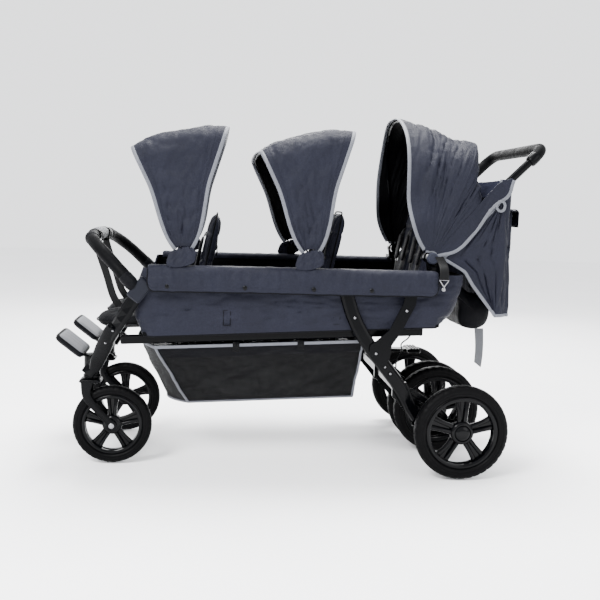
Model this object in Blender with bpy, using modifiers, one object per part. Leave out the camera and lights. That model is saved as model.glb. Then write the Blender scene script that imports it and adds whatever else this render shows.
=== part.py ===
"""Six-seat stroller: three rows of two seats in one long tub, folding canopies and hood.

Metres, +Z up, the stroller's front towards -X, its left side towards -Y.
The origin is on the floor, under the middle of the whole stroller.
"""

import math

import bmesh
import bpy
import numpy as np
from mathutils import Matrix, Vector

# Clearances
GAP = 0.0003
RUN_GAP = 0.0008
SIDES = {"left": -1.0, "right": 1.0}

# Wheels
REAR_R = 0.143
REAR_TYRE_W = 0.047
REAR_OUTER_Y = 0.352
REAR_INNER_Y = 0.052
REAR_AXLE_X = 0.480
FRONT_R = 0.120
FRONT_TYRE_W = 0.042
FRONT_Y = 0.190
FRONT_AXLE_X = -0.569
CASTER_TRAIL = 0.062
CASTER_X = FRONT_AXLE_X - CASTER_TRAIL
AXLE_R = 0.006
FORK_PIN_R = 0.005
RIM_SEAT = 0.745
RIM_BORE = 0.67
HUB_SHARE = 0.25
REAR_HUB_HALF = 0.022
FRONT_HUB_HALF = 0.019
SPOKES = 5
RIM_STEPS = 24
LUG_STEPS = 10

# Caster forks and the carrier above them
BLADE_GAP = 0.003
BLADE_T = 0.007
CROWN_OVER_TYRE = 0.007
CROWN_H = 0.018
CROWN_Z = 2 * FRONT_R + CROWN_OVER_TYRE
STEM_R = 0.0065
STEM_H = 0.045
HOUSING_R = 0.024
HOUSING_H = 0.066
HOUSING_Z = CROWN_Z + CROWN_H + RUN_GAP
CARRIER_TUBE_R = 0.012

# Side frames
RAIL_Y = 0.345
RAIL_Z = 0.597
RAIL_W = 0.018
RAIL_H = 0.034
RAIL_FRONT_X = -0.452
RAIL_REAR_X = 0.402
LOWER_RAIL_Y = 0.300
LOWER_RAIL_W = 0.020
LOWER_RAIL_H = 0.026
LOWER_RAIL_FRONT_X = -0.535
LOWER_RAIL_REAR_X = 0.354
LEG_W = 0.042
LEG_T = 0.020
COLLAR_X = -0.477
COLLAR_Z = 0.551
COLLAR_TILT = 38.0
COLLAR_HALF = (0.0225, 0.0145, 0.0350)
REAR_LEG_X = 0.111
REAR_ARM_X = 0.308
GUSSET_X = 0.226
GUSSET_Z = 0.384
GUSSET_T = 0.006

# Rear subframe and brake
CROSS_X = 0.298
CROSS_Z = 0.262
CROSS_W = 0.028
PLATE_Y = 0.296
PLATE_T = 0.010
BRAKE_X = 0.340
BRAKE_Z = 0.303
BRAKE_Y = 0.170
BRAKE_REACH = 0.125
BRAKE_HALF = 0.055

# Tub of cloth between the rails
FLOOR_Z = 0.437
FLOOR_SLOPE = 0.045
TUB_FRONT_X = -0.492
TUB_REAR_X = 0.474
TUB_TOP_Z = 0.6145
TUB_WAIST_Z = 0.509
TUB_BREAST_Z = 0.600
TUB_HALF = RAIL_Y - RAIL_W / 2 - 0.006
TUB_WALL = 0.010
TUB_FLOOR_T = 0.011
FRONT_OPENING_HALF = 0.296
FLAP_T = 0.008
FLAP_DROP = 0.072
FLAP_FRONT_X = -0.455
FLAP_REAR_X = 0.386

# Seats
ROW_X = (-0.330, 0.052, 0.362)
BACKREST_W = 0.205
BACKREST_LEN = 0.335
BACKREST_T = 0.036
BACKREST_LEAN = 78.0
BACKREST_Y = 0.109
HINGE_ROLL_R = 0.012
CUSHION_T = 0.040
CUSHION_DEPTH = (0.255, 0.225, 0.215)
CUSHION_HALF = (0.282, 0.300, 0.300)

# Front bumper bar and footrests
BUMPER_R = 0.019
BUMPER_X = -0.632
BUMPER_Z = 0.690
BUMPER_Y = 0.222
TONGUE_R = 0.007
TONGUE_LEN = 0.024
BUMPER_OUT = Vector((-math.cos(math.radians(COLLAR_TILT)), 0.0, math.sin(math.radians(COLLAR_TILT))))
FOOTREST_Y = 0.160
FOOTREST_W = 0.165
FOOTREST_LEN = 0.096
FOOTREST_T = 0.022
FOOTREST_TILT = 38.0
FOOTREST_REACH = math.hypot(HOUSING_R, 0.45 * HOUSING_H) + 2 * RUN_GAP
FOOTREST_EYE_W = 0.040

# Push handle and rear hood, all turning about one pivot
PIVOT_X = 0.3815
PIVOT_Z = 0.659
PIN_R = 0.004
HANDLE_Y = 0.245
HANDLE_TUBE_R = 0.0125
HANDLE_LUG_T = 0.016
PIN_HEAD_R = 0.010
PIN_HOLE_R = (PIN_R + GAP) / math.cos(math.pi / 12)
HANDLE_LEN = 0.486
HANDLE_ANGLE = 44.7
GRIP_R = 0.018
MID_BOW_Y = 0.2645
MID_BOW_LEN = 0.365
MID_BOW_CORNER = 0.105
MID_BOW_CROWN = 0.016
MID_BOW_ANGLE = 68.0
FRONT_BOW_Y = 0.2755
FRONT_BOW_LEN = 0.4265
FRONT_ARCH_Y = 0.245
FRONT_ARCH_R = 0.215
FRONT_BOW_CROWN = 0.004
JOGGLE_LOW = 0.100
JOGGLE_HIGH = 0.200
FRONT_BOW_ANGLE = 98.8
BOW_R = 0.0045
BOW_LUG_R = 0.013
BOW_LUG_T = 0.008
BRACKET_Y = 0.2885
BRACKET_T = 0.012
BRACKET_HEAD_R = 0.018
CLOTH_T = 0.003
HOOD_REAR_LEN = 0.235
HOOD_REAR_ANGLE = 50.0
HOOD_FLARE = 34.0

# Small canopies
CANOPY_X = (-0.354, 0.013)
CANOPY_PIVOT_Z = 0.6455
CANOPY_POST_R = 0.016
CANOPY_POST_T = 0.012
REAR_HOOP_LEN = 0.386
REAR_HOOP_ANGLE = 74.0
FRONT_HOOP_LEN = 0.340
FRONT_HOOP_ANGLE = 115.0
HOOP_R = 0.0029
HOOP_LUG_T = 0.006
CANOPY_FLARE = 28.0
CANOPY_FLARE_REACH = 0.24
HOOP_GAP_Y = 0.002
HOOP_OUTER_Y = RAIL_Y + 0.001 - CANOPY_POST_T / 2 - 0.002

# Cape, bag and pouch behind the last row
CAPE_BACK_X = 0.6272
CAPE_HALF = 0.272
CAPE_TOP_Z = 0.880
CAPE_HEM_Z = 0.462
BAG_HALF = 0.185
BAG_DEPTH = 0.036
BAG_Z = (0.668, 0.806)
POUCH_HALF = 0.165

# Basket under the tub
BASKET_TOP_HALF = 0.310
BASKET_BOTTOM_HALF = 0.125
BASKET_TOP_X = (-0.435, 0.176)
BASKET_BOTTOM_X = (-0.342, 0.183)
BASKET_DEPTH = 0.208
BASKET_BULGE = 0.070
BASKET_WALL = 0.004

PARTS = "six_seat_stroller"


def clear_scene():
    """Removes whatever the scene holds."""
    for obj in list(bpy.data.objects):
        bpy.data.objects.remove(obj)


clear_scene()
parts = bpy.data.collections.new(PARTS)
bpy.context.scene.collection.children.link(parts)


def finish_material(name, color, roughness, metallic=0.0):
    """A Principled material in one plain finish."""
    made = bpy.data.materials.new(name)
    made.use_nodes = True
    shader = made.node_tree.nodes["Principled BSDF"]
    shader.inputs["Base Color"].default_value = (*color, 1.0)
    shader.inputs["Roughness"].default_value = roughness
    shader.inputs["Metallic"].default_value = metallic
    return made


FRAME_BLACK = finish_material("frame_black", (0.018, 0.020, 0.024), 0.38, 0.6)
MOULDED_BLACK = finish_material("moulded_black", (0.020, 0.021, 0.023), 0.42)
GLOSS_BLACK = finish_material("gloss_black", (0.015, 0.016, 0.018), 0.22)
TYRE_BLACK = finish_material("tyre_black", (0.022, 0.022, 0.024), 0.75)
FOAM_BLACK = finish_material("foam_black", (0.020, 0.020, 0.022), 0.85)
CLOTH_DARK = finish_material("cloth_dark", (0.028, 0.030, 0.042), 0.80)
CLOTH_GREY = finish_material("cloth_grey", (0.38, 0.38, 0.45), 0.85)
COLLAR_GREY = finish_material("collar_grey", (0.085, 0.095, 0.125), 0.50)
STEEL = finish_material("bright_steel", (0.55, 0.55, 0.56), 0.30, 1.0)
MESH_BLACK = finish_material("mesh_black", (0.020, 0.021, 0.026), 0.85)


def floor_z(x):
    """Underside of the tub at x; the whole lower frame climbs towards the rear."""
    return FLOOR_Z + FLOOR_SLOPE * x


def polar(angle, length, x=PIVOT_X, z=PIVOT_Z):
    """Point in the XZ plane at this angle from +X and this distance from the pivot."""
    a = math.radians(angle)
    return x + length * math.cos(a), z + length * math.sin(a)


def add(name, mesh, material):
    """Puts a mesh in the parts collection as one named object."""
    obj = bpy.data.objects.new(name, mesh)
    mesh.materials.clear()
    mesh.materials.append(material)
    parts.objects.link(obj)
    return obj


def from_bmesh(name, bm, material):
    """Closes a bmesh into an object whose faces point out."""
    bm.normal_update()
    bmesh.ops.recalc_face_normals(bm, faces=bm.faces)
    mesh = bpy.data.meshes.new(name)
    bm.to_mesh(mesh)
    bm.free()
    return add(name, mesh, material)


def bake(obj):
    """Replaces an object's data with its evaluated mesh, welded and facing out."""
    bpy.context.view_layer.update()
    graph = bpy.context.evaluated_depsgraph_get()
    mesh = bpy.data.meshes.new_from_object(obj.evaluated_get(graph))
    bm = bmesh.new()
    bm.from_mesh(mesh)
    bmesh.ops.remove_doubles(bm, verts=bm.verts, dist=1e-6)
    bm.normal_update()
    bmesh.ops.recalc_face_normals(bm, faces=bm.faces)
    bm.to_mesh(mesh)
    bm.free()
    name, material, matrix = obj.name, obj.data.materials[0], obj.matrix_world.copy()
    bpy.data.objects.remove(obj)
    made = add(name, mesh, material)
    made.name = name
    made.matrix_world = matrix
    return made


def boolean(base, others, operation):
    """Joins or cuts the base with the other solids, which are then removed."""
    for other in others:
        step = base.modifiers.new(operation.lower(), "BOOLEAN")
        step.operation = operation
        step.object = other
    made = bake(base)
    for other in others:
        bpy.data.objects.remove(other)
    return made


def fuse(base, *others):
    return boolean(base, others, "UNION")


def cut(base, *others):
    return boolean(base, others, "DIFFERENCE")


def rounded(obj, width, segments, angle=60.0):
    """Rounds the sharp edges."""
    step = obj.modifiers.new("round", "BEVEL")
    step.width = width
    step.segments = segments
    step.limit_method = "ANGLE"
    step.angle_limit = math.radians(angle)
    return bake(obj)


def mirror_to_right(obj):
    """The right-hand twin of a left-hand piece."""
    mesh = obj.data.copy()
    mesh.transform(Matrix.Diagonal((1.0, -1.0, 1.0, 1.0)))
    mesh.flip_normals()
    twin = add(obj.name.replace("left", "right"), mesh, obj.data.materials[0])
    return twin


def smooth(obj, angle=35.0):
    obj.data.shade_smooth()
    obj.data.set_sharp_from_angle(angle=math.radians(angle))
    return obj


def hang(pivot_name, location, *objects):
    """Parents objects to an empty on their joint's axis, leaving them where they are."""
    pivot = bpy.data.objects.get(pivot_name) or bpy.data.objects.new(pivot_name, None)
    if pivot.name not in parts.objects:
        parts.objects.link(pivot)
    pivot.location = location
    for obj in objects:
        obj.parent = pivot
        obj.location = obj.location - Vector(location)
    return pivot


def cylinder(name, a, b, radius, material, sides=16, top_radius=None):
    """Solid round bar from point a to point b."""
    a, b = Vector(a), Vector(b)
    bm = bmesh.new()
    bmesh.ops.create_cone(
        bm, cap_ends=True, segments=sides, radius1=radius, depth=(b - a).length,
        radius2=radius if top_radius is None else top_radius,
    )
    turn = (b - a).to_track_quat("Z", "Y").to_matrix().to_4x4()
    bm.transform(Matrix.Translation((a + b) / 2) @ turn)
    return from_bmesh(name, bm, material)


def box(name, low, high, material, bevel=0.0, turn=None):
    """Block between two corners, with rounded edges, turned about its centre."""
    low, high = Vector(low), Vector(high)
    bm = bmesh.new()
    bmesh.ops.create_cube(bm, size=1.0)
    bm.transform(Matrix.Diagonal((*(high - low), 1.0)))
    if bevel:
        bmesh.ops.bevel(
            bm, geom=bm.edges[:], offset=bevel, offset_type="OFFSET", segments=1,
            profile=0.5, affect="EDGES",
        )
    if turn is not None:
        bm.transform(turn)
    bm.transform(Matrix.Translation((low + high) / 2))
    return from_bmesh(name, bm, material)


def plate(name, outline, y0, y1, material, holes=()):
    """Flat plate in the XZ plane between y0 and y1, from a 2D outline with round holes."""
    curve = bpy.data.curves.new(name, "CURVE")
    curve.dimensions = "2D"
    curve.fill_mode = "BOTH"
    curve.extrude = abs(y1 - y0) / 2
    rings = [outline]
    for x, z, r, sides in holes:
        turns = [2 * math.pi * k / sides for k in range(sides)]
        rings.append([(x + r * math.cos(t), z + r * math.sin(t)) for t in turns])
    for ring in rings:
        spline = curve.splines.new("POLY")
        spline.points.add(len(ring) - 1)
        for point, (x, z) in zip(spline.points, ring):
            point.co = (x, z, 0.0, 1.0)
        spline.use_cyclic_u = True
    curve.materials.append(material)
    obj = bpy.data.objects.new(name, curve)
    parts.objects.link(obj)
    made = bake(obj)
    stand_up = Matrix.Translation((0, (y0 + y1) / 2, 0)) @ Matrix.Rotation(math.pi / 2, 4, "X")
    made.data.transform(stand_up)
    return made


def arc(cx, cz, radius, start, end, steps):
    """Points on an arc in a plane, angles in degrees."""
    angles = np.radians(np.linspace(start, end, steps + 1))
    return [(cx + radius * math.cos(t), cz + radius * math.sin(t)) for t in angles]


def smooth_path(points, count):
    """Catmull-Rom curve through 3D points, read at even steps of its length."""
    p = np.asarray(points, float)
    p = np.vstack([2 * p[0] - p[1], p, 2 * p[-1] - p[-2]])
    t = np.linspace(0, 1, 13)[:-1, None]
    dense = [
        0.5 * (2 * b + (c - a) * t + (2 * a - 5 * b + 4 * c - d) * t**2 + (3 * b - a - 3 * c + d) * t**3)
        for a, b, c, d in zip(p, p[1:], p[2:], p[3:])
    ]
    dense = np.vstack([*dense, p[-2:-1]])
    along = np.concatenate([[0], np.cumsum(np.linalg.norm(np.diff(dense, axis=0), axis=1))])
    want = np.linspace(0, along[-1], count)
    return np.column_stack([np.interp(want, along, dense[:, k]) for k in range(3)])


def tube(name, path, radius, material, resolution=2, profile=None):
    """Round tube along a path, or a flat oval one where a (width, thickness) profile is given."""
    curve = bpy.data.curves.new(name, "CURVE")
    curve.dimensions = "3D"
    curve.use_fill_caps = True
    curve.resolution_u = 1
    guide = None
    if profile is None:
        curve.bevel_depth = radius
        curve.bevel_resolution = resolution
    else:
        guide = oval_guide(*profile)
        curve.twist_mode = "Z_UP"
        curve.bevel_mode = "OBJECT"
        curve.bevel_object = guide
    spline = curve.splines.new("POLY")
    spline.points.add(len(path) - 1)
    for point, place in zip(spline.points, path):
        point.co = (*place, 1.0)
    curve.materials.append(material)
    obj = bpy.data.objects.new(name, curve)
    parts.objects.link(obj)
    made = bake(obj)
    if guide:
        bpy.data.objects.remove(guide)
    return made


def oval_guide(width, thickness):
    """Closed profile of a flat oval section: a rectangle whose short ends are half rounds."""
    curve = bpy.data.curves.new("oval_guide", "CURVE")
    r = thickness / 2
    flat = width / 2 - r
    ring = arc(0, flat, r, 0, 180, 4) + arc(0, -flat, r, 180, 360, 4)
    spline = curve.splines.new("POLY")
    spline.points.add(len(ring) - 1)
    for point, (x, y) in zip(spline.points, ring):
        point.co = (x, y, 0.0, 1.0)
    spline.use_cyclic_u = True
    guide = bpy.data.objects.new("oval_guide", curve)
    guide.hide_render = True
    parts.objects.link(guide)
    return guide


def turned(name, profile, material, steps=RIM_STEPS, turn=180.0 / RIM_STEPS):
    """Body of revolution about Y from a closed (radius, y) profile."""
    mesh = bpy.data.meshes.new(name)
    count = len(profile)
    edges = [(k, (k + 1) % count) for k in range(count) if profile[k][0] + profile[(k + 1) % count][0] > 0]
    a = math.radians(turn)
    corners = [(r * math.cos(a), y, r * math.sin(a)) for r, y in profile]
    mesh.from_pydata(corners, edges, [])
    mesh.materials.append(material)
    obj = bpy.data.objects.new(name, mesh)
    parts.objects.link(obj)
    screw = obj.modifiers.new("turn", "SCREW")
    screw.axis = "Y"
    screw.steps = steps
    screw.render_steps = steps
    screw.use_merge_vertices = True
    screw.merge_threshold = 1e-5
    return bake(obj)


def beam(name, inner, outer, inner_size, outer_size, material):
    """Tapered bar from one point to another in the XZ plane, each size (half width, half depth)."""
    inner, outer = Vector(inner), Vector(outer)
    along = (outer - inner).normalized()
    across = Vector((-along.z, 0, along.x))
    bm = bmesh.new()
    bmesh.ops.create_cube(bm, size=2.0)
    for v in bm.verts:
        place, (half_w, half_d) = (outer, outer_size) if v.co.z > 0 else (inner, inner_size)
        v.co = place + across * half_w * v.co.x + Vector((0, half_d * v.co.y, 0))
    return from_bmesh(name, bm, material)


def padded(name, cells, shape, material):
    """Stuffed block: a grid pulled into a closed box, each point then placed by shape(u, v, face).

    u and v run from -1 to 1 over the grid and face is 0 below and 1 above."""
    bm = bmesh.new()
    bmesh.ops.create_grid(bm, x_segments=cells[0], y_segments=cells[1], size=1.0)
    raised = bmesh.ops.extrude_face_region(bm, geom=bm.faces[:])
    upper = {e for e in raised["geom"] if isinstance(e, bmesh.types.BMVert)}
    for v in bm.verts:
        v.co = Vector(shape(v.co.x, v.co.y, 1.0 if v in upper else 0.0))
    return smooth(from_bmesh(name, bm, material), 50.0)


def sheet(name, grid, material, thickness=CLOTH_T):
    """Cloth of one thickness, centred on a grid of points (rows, columns, 3)."""
    rows, columns = grid.shape[:2]
    mesh = bpy.data.meshes.new(name)
    index = np.arange(rows * columns).reshape(rows, columns)
    quads = np.stack([index[:-1, :-1], index[:-1, 1:], index[1:, 1:], index[1:, :-1]], axis=-1)
    mesh.from_pydata(grid.reshape(-1, 3).tolist(), [], quads.reshape(-1, 4).tolist())
    mesh.materials.append(material)
    obj = bpy.data.objects.new(name, mesh)
    parts.objects.link(obj)
    solid = obj.modifiers.new("thickness", "SOLIDIFY")
    solid.thickness = thickness
    solid.offset = 0.0
    return smooth(bake(obj), 60.0)


def joggle(distance):
    """Share of the inward step that a bow's leg has made at this distance from its pivot."""
    share = np.clip((distance - JOGGLE_LOW) / (JOGGLE_HIGH - JOGGLE_LOW), 0.0, 1.0)
    return float(share * share * (3 - 2 * share))


def hoop_curve(length, half, corner, bend=0.0, start=0.0, rows=2, arc_rows=4, foot=None):
    """(distance from the pivot, y) along half a hoop: up one leg, round the corner, to the middle.

    bend crowns the crossbar: how much further out its middle lies than its corners.
    foot is the y of the leg's lower end, where the leg steps inward higher up."""
    distances = np.linspace(start, length - corner, rows)
    if foot is None:
        foot = half
    else:
        distances = [start, *np.linspace(JOGGLE_LOW, JOGGLE_HIGH, rows), length - corner]
    leg = [(s, foot + (half - foot) * joggle(s)) for s in distances]
    turn = [
        (length - corner + corner * math.sin(t), half - corner + corner * math.cos(t))
        for t in np.linspace(0, math.pi / 2, arc_rows + 1)[1:]
    ]
    across = [(length, y) for y in np.linspace(half - corner, 0, 4)[1:]]
    line = [
        (s + bend * (1 - (y / half) ** 2) if s > length - corner else s, y)
        for s, y in leg + turn + across
    ]
    return line + [(s, -y) for s, y in line[-2::-1]]


def hoop_points(line, angle, x, z, flare=0.0, reach=1.0):
    """World points of a hoop line, whose plane stands at this angle on the pivot.

    flare turns the points nearest the pivot further, up to this many degrees, over this reach."""
    points = []
    for s, y in line:
        px, pz = polar(angle + flare * max(0.0, 1 - s / reach) ** 2, s, x, z)
        points.append((px, y, pz))
    return points


def lug(name, x, z, y, width, radius, bore, material):
    """Round eye about a pivot, its bore wide enough that even its flats clear the pin."""
    bore = bore / math.cos(math.pi / LUG_STEPS)
    ring = [(bore, y - width / 2), (radius, y - width / 2), (radius, y + width / 2), (bore, y + width / 2)]
    eye = turned(name, ring, material, steps=LUG_STEPS)
    eye.data.transform(Matrix.Translation((x, 0, z)))
    return eye


def make_bow(name, x, z, angle, length, half, corner, bend, radius, lug_size, material, pin=None, **shape):
    """A U-shaped bow with an eye on each end, turning about the pivot at x, z.

    pin is the y of its outer and inner end where the bow carries its own pivot pins."""
    lug_r, lug_t = lug_size
    line = hoop_curve(length, half, corner, bend, start=lug_r * 0.75, **shape)
    bow = tube(name, hoop_points(line, angle, x, z), radius, material, 1)
    foot = line[0][1]
    parts = []
    for side in SIDES.values():
        if pin is None:
            parts.append(lug("eye", x, z, side * foot, lug_t, lug_r, PIN_R + GAP, material))
            continue
        low, high = sorted((side * (foot - lug_t / 2), side * (foot + lug_t / 2)))
        parts.append(cylinder("eye", (x, low, z), (x, high, z), lug_r, material, 2 * LUG_STEPS))
        outer, inner = (x, side * pin[0], z), (x, side * pin[1], z)
        parts.append(cylinder("pivot_pin", outer, inner, PIN_R, STEEL, 10))
        if len(pin) > 2:
            parts.append(cylinder("pin_head", inner, (x, side * pin[2], z), PIN_HEAD_R, STEEL, 14))
    return smooth(fuse(bow, *parts))


# Wheels
def rim(name, radius, width, hub_half, bore, blind, material):
    """Rim with a barrel, a hub and five double spokes, centred on the origin, its axis along Y."""
    seat, inner, half = RIM_SEAT * radius, RIM_BORE * radius, 0.36 * width
    lip = 0.022 * radius
    barrel = turned(name, [
        (inner, -half), (seat + lip, -half), (seat, -0.2 * width),
        (seat, 0.2 * width), (seat + lip, half), (inner, half),
    ], material)
    hub_r = HUB_SHARE * radius
    nose = 0.55 * hub_half
    profile = [(bore, -hub_half), (hub_r * 0.8, -hub_half), (hub_r, -nose), (hub_r, nose)]
    if blind:
        crown = hub_half * 1.12
        profile += [(hub_r * 0.80, hub_half * 0.95), (hub_r * 0.42, crown), (0.0, crown * 1.04)]
        profile += [(0.0, nose), (bore, nose)]
    else:
        profile += [(hub_r * 0.8, hub_half), (bore, hub_half)]
    hub = turned("hub", profile, material, steps=14)
    arms = []
    for k in range(SPOKES):
        a = 2 * math.pi * k / SPOKES + math.pi / 2
        out, side = Vector((math.cos(a), 0, math.sin(a))), Vector((-math.sin(a), 0, math.cos(a)))
        for sign in SIDES.values():
            near = out * 0.85 * hub_r + side * sign * 0.062 * radius
            far = out * 0.5 * (seat + inner) + side * sign * 0.100 * radius
            size_near = (0.036 * radius, 0.30 * width)
            size_far = (0.030 * radius, 0.20 * width)
            arms.append(beam("spoke", near, far, size_near, size_far, material))
    return smooth(fuse(barrel, hub, *arms), 40.0)


def tyre(name, radius, width, material):
    """Tyre on the rim's seat, with a flat of tread at its foot."""
    seat = RIM_SEAT * radius + GAP
    lip = 0.36 * width + GAP
    edge = (RIM_SEAT + 0.022) * radius + GAP
    crown = radius / math.cos(math.pi / RIM_STEPS)
    half = [(seat, 0.2 * width), (edge, lip), (0.86 * radius, 0.5 * width), (crown, 0.22 * width)]
    profile = half + [(r, -y) for r, y in reversed(half)]
    return smooth(turned(name, profile, material), 40.0)


def place_wheel(name, rim_mesh, tyre_mesh, location, turn_over=False):
    """One wheel's rim and tyre on a pivot empty at its axle."""
    turn = Matrix.Rotation(math.pi, 4, "Z") if turn_over else Matrix.Identity(4)
    made = []
    for kind, mesh, material in (("rim", rim_mesh, GLOSS_BLACK), ("tyre", tyre_mesh, TYRE_BLACK)):
        obj = add(f"{name}_{kind}", mesh.copy(), material)
        obj.data.transform(turn)
        obj.location = location
        made.append(obj)
    hang(f"{name}_wheel_axis", location, *made)


def make_wheels():
    """Four wheels on the rear axle and one in each caster fork."""
    outer_rim = rim("outer_rim", REAR_R, REAR_TYRE_W, REAR_HUB_HALF, AXLE_R + GAP, True, GLOSS_BLACK)
    inner_rim = rim("inner_rim", REAR_R, REAR_TYRE_W, REAR_HUB_HALF, AXLE_R + GAP, False, GLOSS_BLACK)
    rear_tyre = tyre("rear_tyre", REAR_R, REAR_TYRE_W, TYRE_BLACK)
    front_rim = rim("front_rim", FRONT_R, FRONT_TYRE_W, FRONT_HUB_HALF, FORK_PIN_R + GAP, False, GLOSS_BLACK)
    front_tyre = tyre("front_tyre", FRONT_R, FRONT_TYRE_W, TYRE_BLACK)
    for side, sign in SIDES.items():
        outside = (REAR_AXLE_X, sign * REAR_OUTER_Y, REAR_R)
        inside = (REAR_AXLE_X, sign * REAR_INNER_Y, REAR_R)
        front = (FRONT_AXLE_X, sign * FRONT_Y, FRONT_R)
        place_wheel(f"rear_{side}_outer", outer_rim.data, rear_tyre.data, outside, sign < 0)
        place_wheel(f"rear_{side}_inner", inner_rim.data, rear_tyre.data, inside, sign < 0)
        place_wheel(f"front_{side}", front_rim.data, front_tyre.data, front, sign < 0)
    for pattern in (outer_rim, inner_rim, rear_tyre, front_rim, front_tyre):
        bpy.data.objects.remove(pattern)


# Casters
def make_fork(side, sign):
    """Caster fork: a crown over the tyre, two curved blades, the axle pin and the stem above."""
    y = sign * FRONT_Y
    blade_y = FRONT_TYRE_W / 2 + BLADE_GAP + BLADE_T / 2
    half = blade_y + BLADE_T / 2
    crown = box(
        f"{side}_fork", (CASTER_X - 0.034, y - half, CROWN_Z),
        (CASTER_X + 0.030, y + half, CROWN_Z + CROWN_H),
        MOULDED_BLACK, 0.005,
    )
    blades = []
    for edge in SIDES.values():
        outline = [
            (CASTER_X - 0.032, CROWN_Z + 0.5 * CROWN_H), (CASTER_X - 0.030, CROWN_Z - 0.030),
            (CASTER_X - 0.016, FRONT_R + 0.062), (FRONT_AXLE_X - 0.018, FRONT_R + 0.004),
            *arc(FRONT_AXLE_X, FRONT_R, 0.016, 200, 400, 8),
            (CASTER_X + 0.028, FRONT_R + 0.062), (CASTER_X + 0.012, CROWN_Z - 0.024),
            (CASTER_X + 0.014, CROWN_Z + 0.5 * CROWN_H),
        ]
        centre = y + edge * blade_y
        blades.append(plate("blade", outline, centre - BLADE_T / 2, centre + BLADE_T / 2, MOULDED_BLACK))
    reach = half + 0.003
    pin = cylinder(
        "pin", (FRONT_AXLE_X, y - reach, FRONT_R), (FRONT_AXLE_X, y + reach, FRONT_R), FORK_PIN_R, STEEL, 10,
    )
    stem = cylinder(
        "stem", (CASTER_X, y, CROWN_Z + CROWN_H / 2), (CASTER_X, y, CROWN_Z + CROWN_H + STEM_H),
        STEM_R, STEEL, 14,
    )
    fork = smooth(fuse(crown, *blades, pin, stem))
    hang(f"{side}_caster_axis", (CASTER_X, y, CROWN_Z), fork)


def make_front_carrier():
    """Cross tube with the two upright caster housings that the fork stems turn in."""
    carrier_z = HOUSING_Z + 0.55 * HOUSING_H
    carrier = cylinder(
        "front_carrier", (CASTER_X, -FRONT_Y, carrier_z), (CASTER_X, FRONT_Y, carrier_z),
        CARRIER_TUBE_R, FRAME_BLACK, 14,
    )
    housings, bores = [], []
    for sign in SIDES.values():
        y = sign * FRONT_Y
        top = HOUSING_Z + HOUSING_H
        low = (CASTER_X, y, HOUSING_Z)
        housings.append(cylinder("housing", low, (CASTER_X, y, top), HOUSING_R, FRAME_BLACK, 20))
        bores.append(cylinder(
            "bore", (CASTER_X, y, HOUSING_Z - 0.01), (CASTER_X, y, HOUSING_Z + STEM_H),
            STEM_R + GAP, FRAME_BLACK, 14,
        ))
    return smooth(cut(fuse(carrier, *housings), *bores))


# Side frames
def leg_path(side_sign, knots, count):
    """Path through (x, distance from the middle, z) points on one side."""
    return smooth_path([(x, side_sign * y, z) for x, y, z in knots], count)


FRONT_LEG_TOP = (COLLAR_X - 0.010, RAIL_Y, COLLAR_Z - 0.016)
FRONT_LEG_FOOT_Y = FRONT_Y + HOUSING_R + LEG_T / 2 - 0.004


def front_leg_knots():
    """From the collar down and inward to the outer side of the caster housing."""
    foot = (CASTER_X + 0.002, FRONT_LEG_FOOT_Y, HOUSING_Z + 0.5 * HOUSING_H)
    top = Vector(FRONT_LEG_TOP)
    knots = [tuple(top)]
    for share, inward in ((0.34, 0.20), (0.66, 0.62)):
        x = top.x + (foot[0] - top.x) * share
        z = top.z + (foot[2] - top.z) * share
        knots.append((x, RAIL_Y + (foot[1] - RAIL_Y) * inward, z))
    return knots + [foot, (foot[0] - 0.012, foot[1], foot[2] - 0.018)]


def rear_leg_knots():
    """From the rail down and back to the outer face of the axle plate."""
    foot_y = PLATE_Y + PLATE_T / 2 + LEG_T / 2 + 3 * GAP
    top_z = RAIL_Z - RAIL_H / 2 + 0.014
    foot_x = REAR_AXLE_X - REAR_R + 0.004
    return [
        (REAR_LEG_X - 0.003, RAIL_Y, top_z), (REAR_LEG_X + 0.016, RAIL_Y, top_z - 0.070),
        (REAR_LEG_X + 0.040, RAIL_Y, GUSSET_Z + 0.080), (GUSSET_X - 0.036, RAIL_Y, GUSSET_Z + 0.018),
        (GUSSET_X + 0.012, RAIL_Y - 0.004, GUSSET_Z - 0.042),
        (CROSS_X - 0.006, (RAIL_Y + foot_y) / 2, CROSS_Z + 0.012),
        (foot_x - 0.004, foot_y, REAR_R + 0.056), (foot_x + 0.012, foot_y, REAR_R + 0.036),
    ]


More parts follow.
